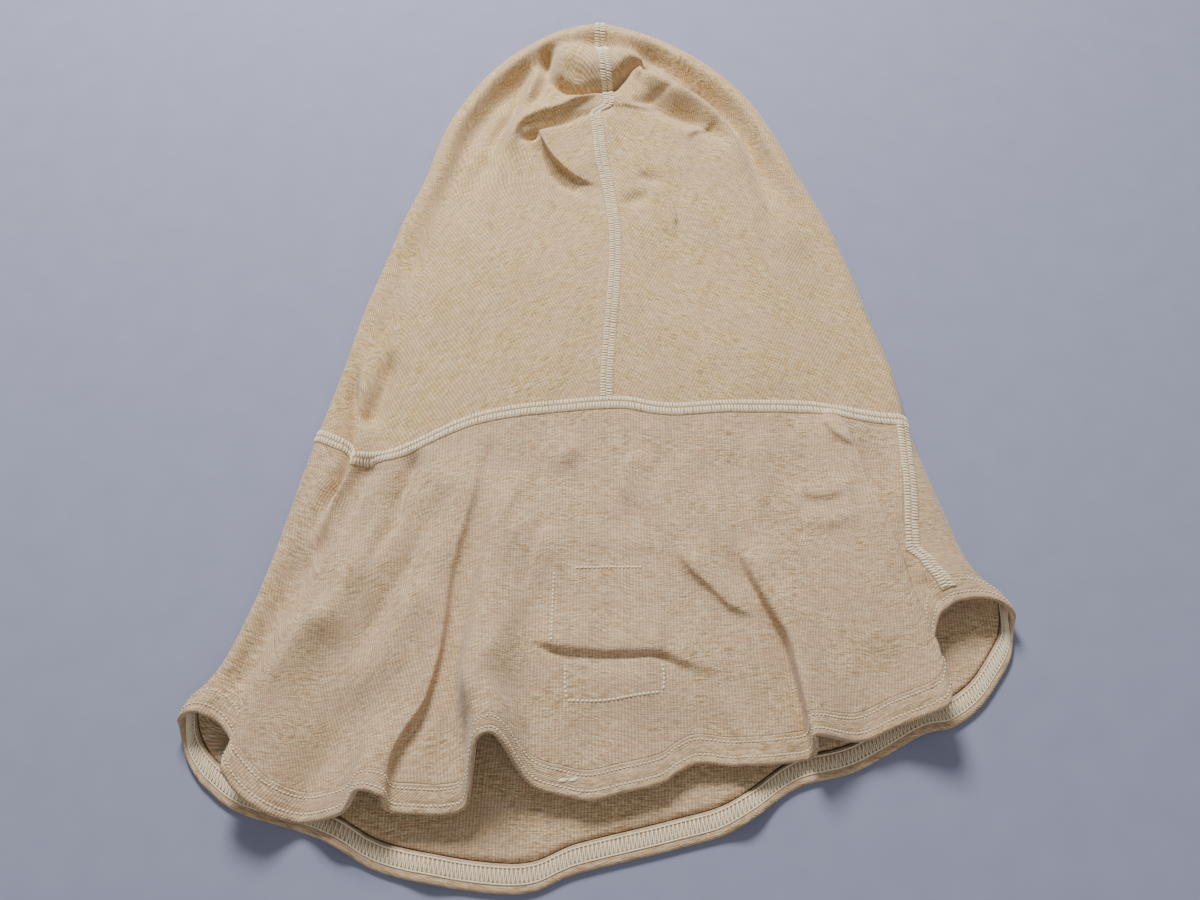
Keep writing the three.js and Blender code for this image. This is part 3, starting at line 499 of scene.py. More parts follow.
def body_point(way, share):
    """The rolled shell without its folds, how far its folds are free (0 at the rim, 1 a little way in), and
    whether it is the upper layer. Near the rim the section is a quarter circle of the table's roll, then a
    dip, then the height of the body."""
    flat, upper = plan_of(way, share)
    distance = np.abs(path_measure(flat[..., 0], flat[..., 1], LONG_RIM)[0])
    roll = section_value("roll", share)
    rise = np.sqrt(np.clip(roll**2 - np.clip(roll - distance, 0, None) ** 2, 0, None))
    inward = np.clip(distance - roll, 0, None)
    hollow = (inward / VALLEY_WIDTH) ** 2 * np.exp(1 - (inward / VALLEY_WIDTH) ** 2)
    top = mix(2 * roll, body_height(flat[..., 1], share), smooth(inward / SHELL_REACH))
    high = roll + rise + top - 2 * roll - section_value("valley", share) * hollow
    z = np.where(upper, high, roll - rise)
    return np.concatenate([flat, z[..., None]], axis=-1), smooth(distance / FOLD_RIM), upper


def surface(way, share):
    """The outer surface of the laid hood, in the tables' millimetres."""
    way, share = np.broadcast_arrays(np.asarray(way, float), np.asarray(share, float))
    point, freedom, upper = body_point(way, share)
    x, y = point[..., 0], point[..., 1]
    back = fold_shift(x, y, BACK_FOLDS)
    back[..., 2] += ripple(x, y) * mix(1.0, BIB_UNEVENNESS, smooth((share - NECK_SHARE) / NECK_BLEND))
    front = fold_shift(x, y, UNDER_FOLDS)
    return point + np.where(upper[..., None], back, front) * freedom[..., None]


def share_rate(way, share):
    """Millimetres down the surface for a unit of share."""
    step = body_point(way, share + SMALL)[0] - body_point(way, share - SMALL)[0]
    return np.linalg.norm(step, axis=-1) / (2 * SMALL)


def way_rate(way, share):
    """Millimetres round the surface for a unit of way."""
    step = body_point(way + SMALL, share)[0] - body_point(way - SMALL, share)[0]
    return np.linalg.norm(step, axis=-1) / (2 * SMALL)


def unit(vectors):
    return vectors / np.maximum(np.linalg.norm(vectors, axis=-1, keepdims=True), 1e-12)


def grid_normals(points):
    """Outward normals of a grid whose rows go down the hood and whose columns go round it."""
    return unit(np.cross(np.gradient(points, axis=0), np.gradient(points, axis=1)))


def cloth_normals(measured, way, share):
    """Outward normals from those measured on a grid. On the rolled rim, where rows and columns can run side
    by side, they are those of its half circle: out from the rim by 1 - distance / roll, and up or down by
    the rest."""
    way, share = np.broadcast_arrays(np.asarray(way, float), np.asarray(share, float))
    flat, upper = plan_of(way, share)
    distance, place = path_measure(flat[..., 0], flat[..., 1], LONG_RIM)
    roll = section_value("roll", share)
    outward = np.clip(1 - np.abs(distance) / roll, 0, 1)
    places = LONG_RIM_PLACES / LONG_RIM_PLACES[-1]
    run = unit(np.stack([np.interp(place, places, LONG_RIM_RUNS[:, axis]) for axis in (0, 1)], axis=-1))
    turned = np.sqrt(1 - outward**2) * np.where(upper, 1, -1)
    rolled = np.stack([-run[..., 1] * outward, run[..., 0] * outward, turned], axis=-1)
    return unit(mix(measured, rolled, smooth(ROLL_BLEND - np.abs(distance) / roll)[..., None]))


class MeshParts:
    """Gathers points and faces of several parts into one mesh. Points are in the tables' millimetres."""

    def __init__(self):
        self.points, self.faces, self.smooth, self.marks, self.uvs = [], [], [], [], []
        self.count = 0

    def add_grid(self, points, uvs=None):
        """Adds a grid of points and returns the grid of their numbers."""
        shape = points.shape[:-1]
        index = self.count + np.arange(math.prod(shape)).reshape(shape)
        self.points.append(points.reshape(-1, 3))
        self.uvs.append(np.zeros((index.size, 2)) if uvs is None else uvs.reshape(-1, 2))
        self.count += index.size
        return index

    def add_faces(self, faces, smooth_shading=True, mark=0):
        if len(faces):
            self.faces.append(np.asarray(faces, int))
            self.smooth.append(smooth_shading)
            self.marks.append(mark)

    def make(self, name, materials):
        points = (np.vstack(self.points) - CENTRE) * MM
        corners = np.concatenate([faces.ravel() for faces in self.faces])
        sizes = np.concatenate([np.full(len(faces), faces.shape[1]) for faces in self.faces])
        mesh = bpy.data.meshes.new(name)
        mesh.vertices.add(len(points))
        mesh.vertices.foreach_set("co", points.ravel())
        mesh.loops.add(len(corners))
        mesh.loops.foreach_set("vertex_index", corners.astype(np.int32))
        mesh.polygons.add(len(sizes))
        starts = np.concatenate([[0], np.cumsum(sizes)[:-1]])
        mesh.polygons.foreach_set("loop_start", starts.astype(np.int32))
        each = [len(faces) for faces in self.faces]
        mesh.polygons.foreach_set("use_smooth", np.repeat(self.smooth, each))
        mesh.polygons.foreach_set("material_index", np.repeat(self.marks, each).astype(np.int32))
        mesh.update(calc_edges=True)
        layer = mesh.uv_layers.new(name="cloth")
        layer.data.foreach_set("uv", (np.vstack(self.uvs)[corners] * MM).ravel())
        mesh.validate()
        for material in materials:
            mesh.materials.append(material)
        piece = add_object(name, mesh)
        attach(piece, "root")
        return piece


def cell_corners(index):
    """Corner numbers of the cells of an index grid: down, right, up and back."""
    return np.stack([index[:-1, :-1], index[1:, :-1], index[1:, 1:], index[:-1, 1:]], axis=-1)


def add_shell(parts, points, normals, thickness, uvs, keep=None, pole=False):
    """Cloth of one thickness: the outer grid, an inner grid of every second line moved in along the normals,
    and a wall along the edge. keep says which cells of the inner grid stay, and pole that the first row is
    one point."""
    if pole:
        normals[0] = (0, 1, 0)
    inner = points[::2, ::2] - normals[::2, ::2] * thickness
    outer_index = parts.add_grid(points, uvs)
    inner_index = parts.add_grid(inner, uvs[::2, ::2])
    if pole:
        outer_index[0] = outer_index[0, 0]
        inner_index[0] = inner_index[0, 0]
    if keep is None:
        keep = np.ones((inner.shape[0] - 1, inner.shape[1] - 1), bool)
    fine = np.repeat(np.repeat(keep, 2, axis=0), 2, axis=1)
    outer_cells = cell_corners(outer_index)
    inner_cells = cell_corners(inner_index)[..., ::-1]
    first = 1 if pole else 0
    parts.add_faces(outer_cells[first:][fine[first:]])
    parts.add_faces(inner_cells[first:][keep[first:]])
    if pole:
        parts.add_faces(outer_cells[0][fine[0]][:, :3])
        parts.add_faces(inner_cells[0][keep[0]][:, :3])
    add_walls(parts, outer_index, inner_index, keep, pole)


def add_walls(parts, outer_index, inner_index, keep, pole):
    """Walls along the edges that only one kept cell of the inner grid has."""
    rows, cols = np.nonzero(keep)
    corner_rows = np.stack([rows, rows + 1, rows + 1, rows], axis=-1)
    corner_cols = np.stack([cols, cols, cols + 1, cols + 1], axis=-1)
    start = np.stack([corner_rows, corner_cols], axis=-1).reshape(-1, 2)
    end = np.stack([np.roll(corner_rows, -1, 1), np.roll(corner_cols, -1, 1)], axis=-1).reshape(-1, 2)
    size = inner_index.shape[0] * inner_index.shape[1]
    start_code = start[:, 0] * inner_index.shape[1] + start[:, 1]
    end_code = end[:, 0] * inner_index.shape[1] + end[:, 1]
    single = ~np.isin(start_code * size + end_code, end_code * size + start_code)
    if pole:
        single &= (start[:, 0] + end[:, 0]) > 0
    start, end = start[single], end[single]
    middle = start + end
    parts.add_faces(
        np.stack([
            outer_index[2 * end[:, 0], 2 * end[:, 1]],
            outer_index[middle[:, 0], middle[:, 1]],
            outer_index[2 * start[:, 0], 2 * start[:, 1]],
            inner_index[start[:, 0], start[:, 1]],
            inner_index[end[:, 0], end[:, 1]],
        ], axis=-1),
        smooth_shading=False,
    )


def add_ring(parts, points, uvs, closed_along=True, mark=0):
    """A grid whose first axis goes along a piece and whose second goes round its section. Ends that don't
    meet are closed with a face."""
    index = parts.add_grid(points, uvs)
    index = np.concatenate([index, index[:, :1]], axis=1)
    if closed_along:
        index = np.concatenate([index, index[:1]], axis=0)
    parts.add_faces(cell_corners(index).reshape(-1, 4), mark=mark)
    if not closed_along:
        parts.add_faces(index[:1, :-1], mark=mark)
        parts.add_faces(index[-1:, :-1][:, ::-1], mark=mark)


# Width and thickness of the thread in each kind of stitch, as shares of the thread's own thickness.
THREAD_SECTIONS = {
    "ladder": (2.0, 1.1), "dash": (1.35, 0.9), "zigzag": (1.1, 0.9), "looper": (1.5, 1.0),
    "patch": (2.0, 0.9), "tack": (1.6, 0.9),
}


def add_threads(parts, points, ups, kind, sides=6, end_size=0.55):
    """Short lengths of thread: an oval section carried along each row of points, narrowed at both ends."""
    width, thickness = (settings()[1].thread / MM * share for share in THREAD_SECTIONS[kind])
    along = unit(np.gradient(points, axis=1))
    across = unit(np.cross(ups, along))
    ups = np.cross(along, across)
    angles = np.arange(sides)[:, None] * 2 * math.pi / sides
    size = np.ones((points.shape[1], 1, 1))
    size[[0, -1]] = end_size
    ring = across[:, :, None] * (np.cos(angles) * width / 2)
    ring = ring + ups[:, :, None] * (np.sin(angles) * thickness / 2)
    grid = points[:, :, None] + ring * size
    grid[..., 2] = np.maximum(grid[..., 2], 0)
    index = parts.add_grid(grid)
    wrapped = np.concatenate([index, index[:, :, :1]], axis=2)
    near, far = wrapped[:, :-1], wrapped[:, 1:]
    walls = np.stack([near[..., :-1], near[..., 1:], far[..., 1:], far[..., :-1]], axis=-1)
    parts.add_faces(walls.reshape(-1, 4))
    parts.add_faces(index[:, 0, ::-1])
    parts.add_faces(index[:, -1])


def cloth_uv(points, origin_row, origin_column, turn=0.0):
    """Place on the flat cloth in millimetres: the length along each row from one column, and along each
    column from one row, both without the part that follows the plan's other axis, turned by an angle."""
    across = np.hypot(np.diff(points[..., 0], axis=1), np.diff(points[..., 2], axis=1))
    down = np.hypot(np.diff(points[..., 1], axis=0), np.diff(points[..., 2], axis=0))
    u = np.concatenate([np.zeros((len(points), 1)), np.cumsum(across, axis=1)], axis=1)
    v = np.concatenate([np.zeros((1, points.shape[1])), np.cumsum(down, axis=0)], axis=0)
    u = u - u[:, origin_column : origin_column + 1] + points[:, origin_column : origin_column + 1, 0]
    v = v[origin_row : origin_row + 1] - v
    cos, sin = math.cos(turn), math.sin(turn)
    return np.stack([u * cos + v * sin, v * cos - u * sin], axis=-1)


def steps(*stops):
    """Even steps through stops given as value, count, value, count, ... value."""
    runs = [np.linspace(stops[i], stops[i + 2], stops[i + 1] + 1) for i in range(0, len(stops) - 2, 2)]
    return np.concatenate([runs[0], *[run[1:] for run in runs[1:]]])


def right_seam_way(down):
    """Way of the right side seam at a share of the bib's depth."""
    seam = columns(RIGHT_SEAM)
    return np.interp(down, seam["down"], seam["way"])


def back_ways(down):
    return steps(LEFT_SEAM, BIB_STEPS["rim"], RIM_ZONE, BIB_STEPS["top"], right_seam_way(down))


def front_ways(down):
    return steps(
        right_seam_way(down), BIB_STEPS["right_rim"], 1 + RIM_ZONE, BIB_STEPS["under"], 2 + LEFT_SEAM
    )


def hem_share(way, from_edge):
    """The share at a distance from the hem's edge."""
    return 1 - from_edge / share_rate(way, np.full(np.shape(way), HEM_PLACE))


class Strip:
    """A narrow band of the surface along a line of ways and shares, read by millimetres along the line,
    across it and over it. across says whether the band's width follows the ways or the shares."""

    COLUMN = 0.6  # millimetres, at most

    def __init__(self, ways, shares, half_width, across, step=0.5):
        line = surface(ways, shares)
        lengths = np.concatenate([[0], np.cumsum(np.linalg.norm(np.diff(line, axis=0), axis=-1))])
        self.length = lengths[-1]
        self.step = self.length / max(2, round(self.length / step))
        places = np.arange(0, self.length + self.step / 2, self.step)
        ways = np.interp(places, lengths, ways)[:, None]
        shares = np.interp(places, lengths, shares)[:, None]
        self.half = half_width
        self.count = 2 * math.ceil(half_width / self.COLUMN) + 1
        offsets = np.linspace(-half_width, half_width, self.count)[None, :]
        if across == "way":
            ways, shares = ways + offsets / way_rate(ways, shares), shares + 0 * offsets
            self.points = surface(ways, shares)
            self.normals = cloth_normals(grid_normals(self.points), ways, shares)
        else:
            ways, shares = ways + 0 * offsets, shares + offsets / share_rate(ways, shares)
            self.points = surface(ways, shares)
            self.normals = cloth_normals(-grid_normals(self.points), ways, shares)

    def read(self, grid, along, across):
        rows = np.clip(along / self.step, 0, len(grid) - 1.001)
        cols = np.clip((across + self.half) / (2 * self.half) * (self.count - 1), 0, self.count - 1.001)
        row, col = rows.astype(int), cols.astype(int)
        down, wide = (rows - row)[..., None], (cols - col)[..., None]
        upper = mix(grid[row, col], grid[row, col + 1], wide)
        lower = mix(grid[row + 1, col], grid[row + 1, col + 1], wide)
        return mix(upper, lower, down)

    def at(self, along, across, height):
        along, across, height = np.broadcast_arrays(along, across, height)
        normals = unit(self.read(self.normals, along, across))
        return self.read(self.points, along, across) + normals * height[..., None], normals


def linear(hex_colour):
    """An sRGB hex colour as linear red, green, blue and full alpha."""
    parts = [int(hex_colour[place : place + 2], 16) / 255 for place in (1, 3, 5)]
    return (*(part / 12.92 if part <= 0.04045 else ((part + 0.055) / 1.055) ** 2.4 for part in parts), 1)


def add_node(tree, kind, inputs, **settings):
    """Adds a node and returns its outputs. An input that is a socket is linked, and any other is set."""
    node = tree.nodes.new(kind)
    for name, value in settings.items():
        setattr(node, name, value)
    for name, value in inputs.items():
        if isinstance(value, bpy.types.NodeSocket):
            tree.links.new(value, node.inputs[name])
        else:
            node.inputs[name].default_value = value
    return node.outputs


def new_material(name):
    material = bpy.data.materials.new(name)
    material.use_nodes = True
    material.node_tree.nodes.clear()
    return material.node_tree


def finish(tree, colour, relief, strength, depth, roughness, sheen):
    """The shader of a matt fibrous surface, with a relief of a depth in millimetres."""
    bump = add_node(tree, "ShaderNodeBump", {"Height": relief, "Strength": strength, "Distance": depth * MM})
    shader = add_node(tree, "ShaderNodeBsdfPrincipled", {
        "Base Color": colour, "Normal": bump["Normal"], "Roughness": roughness, "Specular IOR Level": 0.25,
        "Sheen Weight": sheen, "Sheen Roughness": 0.5,
    })
    add_node(tree, "ShaderNodeOutputMaterial", {"Surface": shader["BSDF"]})


# The yarn's fibres, blended over one another in this order: streaks of a length along the courses and a
# height across them in millimetres, the range of noise that they fill, their full strength and their tone.
FIBRES = (
    ("length", "height", "seed", "detail", "low", "high", "strength", "tone"),
    (4.2, 0.6, 0.0, 3.0, 0.47, 0.62, 0.8, "light"),
    (15.0, 2.2, 43.0, 2.0, 0.44, 0.62, 0.4, "light"),
    (5.0, 0.7, 17.0, 3.0, 0.48, 0.64, 0.72, "dark"),
    (1.3, 0.7, 31.0, 1.0, 0.5, 0.68, 0.6, "dark"),
    (34.0, 16.0, 5.0, 2.0, 0.35, 0.65, 0.35, "warm"),
)
FIBRE_DRIFT = 0.5  # millimetres by which the streaks and ribs waver
RIB_GROOVE_PAINTED_SHADE = 0.42  # strength of the painted shade, in the dark fibres' tone, in the groove between two ribs
COURSE_PITCH = 0.95
COURSE_RELIEF = 0.35  # as a share of the ribs'
NAP_RELIEF = 0.9


def heathered_knit(name, tones, rib_pitch):
    """Fine rib knit of a heathered, flame resistant yarn. The yarn's dyed and undyed fibres give short
    streaks along the courses, and the ribs fine upright lines, drawn as relief with painted shade in the
    grooves between them; the surface is matt with a soft nap. Real ribs lie about 1.15 mm apart. They are
    drawn coarser, at rib_pitch, so that the render shows them."""
    tree = new_material(name)
    place = add_node(tree, "ShaderNodeUVMap", {}, uv_map="cloth")["UV"]
    drift = add_node(tree, "ShaderNodeTexNoise", {"Vector": place, "Scale": 160.0, "Detail": 2.0})["Color"]
    shift = (FIBRE_DRIFT * MM, FIBRE_DRIFT * MM, 0.0)
    bent = add_node(
        tree, "ShaderNodeVectorMath", {0: drift, 1: shift, 2: place}, operation="MULTIPLY_ADD",
    )["Vector"]

    colour = tones["base"]
    for row in rows_of(FIBRES):
        mapped = add_node(tree, "ShaderNodeMapping", {
            "Vector": bent, "Location": (row["seed"], row["seed"], 0),
            "Scale": (1 / (row["length"] * MM), 1 / (row["height"] * MM), 1),
        })["Vector"]
        share = add_node(tree, "ShaderNodeTexNoise", {
            "Vector": mapped, "Scale": 1.0, "Detail": row["detail"], "Roughness": 0.6,
        })["Fac"]
        for stretch in ({"From Min": row["low"], "From Max": row["high"]}, {"To Max": row["strength"]}):
            share = add_node(
                tree, "ShaderNodeMapRange", {"Value": share, **stretch}, interpolation_type="SMOOTHSTEP",
            )["Result"]
        inputs = {"Factor": share, "A": colour, "B": tones[row["tone"]]}
        colour = add_node(tree, "ShaderNodeMix", inputs, data_type="RGBA")["Result"]

    axes = add_node(tree, "ShaderNodeSeparateXYZ", {"Vector": bent})
    rib = wave(tree, axes["X"], rib_pitch)
    course = wave(tree, axes["Y"], COURSE_PITCH * MM)
    # Painted shade: the grooves between the ribs, low in the relief, are darkened towards the dark fibres'
    # tone.
    share = add_node(
        tree, "ShaderNodeMapRange", {"Value": rib, "To Min": RIB_GROOVE_PAINTED_SHADE, "To Max": 0.0},
        interpolation_type="SMOOTHSTEP",
    )["Result"]
    inputs = {"Factor": share, "A": colour, "B": tones["dark"]}
    colour = add_node(tree, "ShaderNodeMix", inputs, data_type="RGBA")["Result"]

    nap = add_node(tree, "ShaderNodeTexNoise", {"Vector": place, "Scale": 2600.0, "Detail": 3.0})["Fac"]
    relief = rib
    for layer, share in ((course, COURSE_RELIEF), (nap, NAP_RELIEF)):
        relief = add_node(
            tree, "ShaderNodeMath", {0: layer, 1: share, 2: relief}, operation="MULTIPLY_ADD",
        )["Value"]
    finish(tree, colour, relief, strength=0.55, depth=0.22, roughness=0.92, sheen=0.22)


def wave(tree, coordinate, pitch):
    """Half of 1 + sin(2 pi c / pitch)."""
    turns = add_node(
        tree, "ShaderNodeMath", {0: coordinate, 1: 2 * math.pi / pitch}, operation="MULTIPLY",
    )["Value"]
    sine = add_node(tree, "ShaderNodeMath", {0: turns}, operation="SINE")["Value"]
    return add_node(tree, "ShaderNodeMath", {0: sine, 1: 0.5, 2: 0.5}, operation="MULTIPLY_ADD")["Value"]


def two_toned(name, shade, colour, grain, detail, **surface_values):
    """A surface whose tone and relief follow one noise, of so many grains to the metre."""
    tree = new_material(name)
    place = add_node(tree, "ShaderNodeTexCoord", {})["Object"]
    noise = add_node(tree, "ShaderNodeTexNoise", {"Vector": place, "Scale": grain, "Detail": detail})["Fac"]
    inputs = {"Factor": noise, "A": (*shade, 1), "B": (*colour, 1)}
    tone = add_node(tree, "ShaderNodeMix", inputs, data_type="RGBA")["Result"]
    finish(tree, tone, noise, **surface_values)


def once(name, make, *inputs, **values):
    """The material of a name, made the first time that it is asked for."""
    if name not in bpy.data.materials:
        make(name, *inputs, **values)
    return bpy.data.materials[name]


def knit_for(part):
    """The knit of the head, the bib or the binding."""
    cloth = settings()[0]
    name = {"head": "heathered_bias_knit", "bib": "heathered_rib_knit", "binding": "heathered_binding_knit"}
    colours = {
        "base": cloth.bib_colour if part == "bib" else cloth.head_colour,
        "warm": cloth.warm_colour, "light": cloth.light_colour, "dark": cloth.dark_colour,
    }
    tones = {tone: (*colour, 1) for tone, colour in colours.items()}
    return once(name[part], heathered_knit, tones, cloth.rib_pitch)


def thread_material():
    """Spun aramid sewing thread, undyed: cream, with a soft gloss and fine hairs that blur its edges. Its
    tone falls to the thread shade in the low parts of its noise relief: painted shade between the plies.
    """
    seams = settings()[1]
    return once(
        "spun_cream_thread", two_toned, seams.thread_shade, seams.thread_colour,
        grain=1500.0, detail=2.0, strength=0.5, depth=0.1, roughness=0.7, sheen=0.15,
    )


def floor_material():
    """Plain painted board: matt, with a barely uneven tone."""
    stage = settings()[2]
    return once(
        "matt_board", two_toned, stage.floor_shade, stage.floor_colour,
        grain=60.0, detail=4.0, strength=0.1, depth=0.2, roughness=0.9, sheen=0.0,
    )


def colour_property(name, description, hex_colour):
    return bpy.props.FloatVectorProperty(
        name=name, description=description, subtype="COLOR", size=3, min=0, max=1,
        default=linear(hex_colour)[:3],
    )


def length_property(name, description, millimetres):
    return bpy.props.FloatProperty(
        name=name, description=description, unit="LENGTH", min=0.01 * MM, default=millimetres * MM
    )


class HoodClothSettings(bpy.types.PropertyGroup):
    """Sizes and colours of the knitted cloth."""

    thickness: length_property("Cloth thickness", "Thickness of one layer of the knit", 1.2)
    hem_thickness: length_property("Hem thickness", "Thickness of the turned hem", 2.5)
    rib_pitch: length_property("Rib pitch", "Distance between the drawn ribs of the knit", 1.4)
    head_colour: colour_property("Head", "Main colour of the head part", "#cfa96c")
    bib_colour: colour_property("Bib", "Main colour of the bib", "#c9a57e")
    warm_colour: colour_property("Warm tone", "Colour of the warmer patches of the yarn", "#c9a78c")
    light_colour: colour_property("Light fibres", "Colour of the undyed fibres in the yarn", "#ead3ae")
    # Also the tone of the painted shade in the grooves between the ribs.
    dark_colour: colour_property("Dark fibres", "Colour of the darkest fibres in the yarn", "#846c48")


class HoodSeamSettings(bpy.types.PropertyGroup):
    """Sizes and colours of the seams and stitches."""

    seam_width: length_property("Seam width", "Width of the flat seams", 6.4)
    seam_pitch: length_property("Seam pitch", "Length of one stitch of a flat seam", 1.5)
    hem_pitch: length_property("Hem pitch", "Length of one stitch of the hem", 1.8)
    thread: length_property("Thread", "Thickness of the sewing thread", 0.5)
    thread_colour: colour_property("Thread colour", "Colour of the sewing thread", "#f4ead2")
    # The darker tone goes into the low parts of the thread's relief: painted shade between the plies.
    thread_shade: colour_property("Thread shade", "Colour between the plies of the thread", "#dccba8")


class HoodStageSettings(bpy.types.PropertyGroup):
    """Floor, light and camera."""

    floor_colour: colour_property("Floor", "Colour of the floor", "#8b8ea3")
    floor_shade: colour_property("Floor shade", "Darker tone of the floor", "#828599")
    key_power: bpy.props.FloatProperty(
        name="Key light", description="Power of the large light", unit="POWER", default=27.0, min=0.0
    )
    tilt: bpy.props.FloatProperty(
        name="Camera tilt", description="Angle of the view from straight down", subtype="ANGLE",
        default=math.radians(26.3), min=0.0,
    )
    distance: length_property("Camera distance", "From the camera to the floor along its axis", 512.0)
    lens: bpy.props.FloatProperty(
        name="Lens", description="Focal length on a 36 mm wide sensor", unit="CAMERA", default=31.5, min=1.0
    )


def settings():
    scene = bpy.context.scene
    return scene.hood_cloth, scene.hood_seams, scene.hood_stage


HEAD_BIAS = math.radians(24)  # the ribs of both halves run outwards and down from the centre seam
FACE_CUT = 7.0  # the cloth is cut this far outside the face opening, under the middle of the binding


class HOOD_OT_head(bpy.types.Operator):
    """Add both halves of the head part, cut on the bias"""

    bl_idname = "hood.add_head"
    bl_label = "Add Head Halves"

    def execute(self, context):
        count = HEAD_STEPS
        left = steps(
            UNDER_CENTRE - 2, count["under"], -RIM_ZONE, count["rim"], RIM_ZONE, count["top"], TOP_CENTRE,
        )
        right = steps(
            TOP_CENTRE, count["top"], 1 - RIM_ZONE, count["rim"], 1 + RIM_ZONE, count["under"], UNDER_CENTRE,
        )
        for side, ways, centre, turn in (
            ("left", left, len(left) - 1, HEAD_BIAS), ("right", right, 0, -HEAD_BIAS),
        ):
            piece = self.half(f"{side}_head_cloth", ways, centre, turn)
            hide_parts(f"hood_{side}_panel")
        return {"FINISHED"}

    def half(self, name, ways, centre_column, turn):
        shares = np.linspace(0, 1, HEAD_STEPS["rows"] + 1) ** HEAD_ROW_POWER * NECK_SHARE
        points = surface(ways[None, :], shares[:, None])
        uvs = cloth_uv(points, HEAD_STEPS["rows"], centre_column, turn)
        middles = (points[:-2:2, :-2:2] + points[2::2, 2::2]) / 2
        under = np.mod((ways[:-2:2] + ways[2::2]) / 2, 2) > 1
        x = (middles[..., 0] - FACE_CENTRE[0]) / (FACE_HALF[0] + FACE_CUT)
        y = (middles[..., 1] - FACE_CENTRE[1]) / (FACE_HALF[1] + FACE_CUT)
        keep = ~((np.hypot(x, y) < 1) & under[None, :])
        parts = MeshParts()
        normals = cloth_normals(grid_normals(points), ways[None, :], shares[:, None])
        add_shell(parts, points, normals, settings()[0].thickness / MM, uvs, keep, pole=True)
        return parts.make(name, [knit_for("head")])


class HOOD_OT_bib(bpy.types.Operator):
    """Add the back and the front panel of the bib"""

    bl_idname = "hood.add_bib"
    bl_label = "Add Bib Panels"

    def execute(self, context):
        rows = BIB_STEPS["rows"]
        for side, ways_at, count in (("back", back_ways, rows), ("front", front_ways, rows // 2)):
            piece = self.panel(f"{side}_bib_cloth", ways_at, count)
            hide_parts(f"bib_{side}_panel")
        return {"FINISHED"}

    def panel(self, name, ways_at, count):
        downs = np.linspace(0, 1, count + 1)
        ways = np.stack([ways_at(down) for down in downs])
        ends = hem_share(ways_at(1.0), HEM_DEPTH)
        shares = mix(NECK_SHARE, ends[None, :], downs[:, None])
        points = surface(ways, shares)
        column = int(np.argmin(np.abs(points[0, :, 0] - CENTRE_SEAM[-1][0])))
        parts = MeshParts()
        normals = cloth_normals(grid_normals(points), ways, shares)
        add_shell(parts, points, normals, settings()[0].thickness / MM, cloth_uv(points, 0, column))
        return parts.make(name, [knit_for("bib")])


HEM_ROWS = (3.6, 10.0)  # the two rows of the cover stitch, from the hem's edge
HEM_GROOVE = 0.35  # depth to which the stitches pull the cloth in
HEM_GROOVE_WIDTH = 0.8
HEM_SETBACK = 1.2  # the turned-up edge ends this far below the top of the hem
HEM_BAND_ROWS = 25  # on which the hem's normals are measured


def hem_section(depth, flat_points=14, turn_points=9):
    """The hem's section as pairs of distance from the edge and depth into it: along the outside, round the
    edge and back along the inside. Stitch rows sink into both faces."""
    half = depth / 2
    outside = np.linspace(HEM_DEPTH, half, flat_points)
    turn = np.linspace(0, math.pi, turn_points)[1:-1]
    inside = np.linspace(half, HEM_DEPTH - HEM_SETBACK, flat_points)
    distance = np.concatenate([outside, half - half * np.sin(turn), inside])
    inward = np.concatenate([0 * outside, half - half * np.cos(turn), depth + 0 * inside])
    groove = sum(np.exp(-(((distance - row) / HEM_GROOVE_WIDTH) ** 2)) for row in HEM_ROWS) * HEM_GROOVE
    sign = np.concatenate([np.ones(len(outside)), np.zeros(len(turn)), -np.ones(len(inside))])
    return distance, inward + groove * sign


class HOOD_OT_hem(bpy.types.Operator):
    """Add the turned hem round the open edge of the bib"""

    bl_idname = "hood.add_hem"
    bl_label = "Add Hem"

    def execute(self, context):
        ways = np.concatenate([back_ways(1.0)[:-1], front_ways(1.0)[:-1]])
        distance, inward = hem_section(settings()[0].hem_thickness / MM)
        grid = surface(ways[:, None], hem_share(ways[:, None], distance[None, :]))
        points = grid - self.normals(ways, distance) * inward[None, :, None]
        closed = np.concatenate([grid[-1:], grid], axis=0)
        u = np.cumsum(np.linalg.norm(np.diff(closed, axis=0), axis=-1), axis=0)
        uvs = np.stack([u, np.broadcast_to(distance[None, :] - inward[None, :], u.shape)], axis=-1)
        parts = MeshParts()
        add_ring(parts, points[:, ::-1], uvs[:, ::-1])
        piece = parts.make("turned_hem", [knit_for("bib")])
        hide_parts("bib_hem")
        return {"FINISHED"}

    def normals(self, ways, distance):
        """Normals of the cloth at distances from the hem's edge, read from a band measured in even rows."""
        order = np.concatenate([ways[-1:] - 2, ways, ways[:1] + 2])
        reach = np.linspace(HEM_DEPTH, 0, HEM_BAND_ROWS)
        shares = hem_share(order[None, :], reach[:, None])
        faces = cloth_normals(grid_normals(surface(order[None, :], shares)), order[None, :], shares)[:, 1:-1]
        rows = np.clip(HEM_DEPTH - distance, 0, HEM_DEPTH - SMALL) * (HEM_BAND_ROWS - 1) / HEM_DEPTH
        row = rows.astype(int)
        return unit(mix(faces[row], faces[row + 1], (rows - row)[:, None, None])).transpose(1, 0, 2)


def rounded(wave_value, power):
    """A sine or cosine drawn out towards a square wave."""
    return np.sign(wave_value) * np.abs(wave_value) ** power


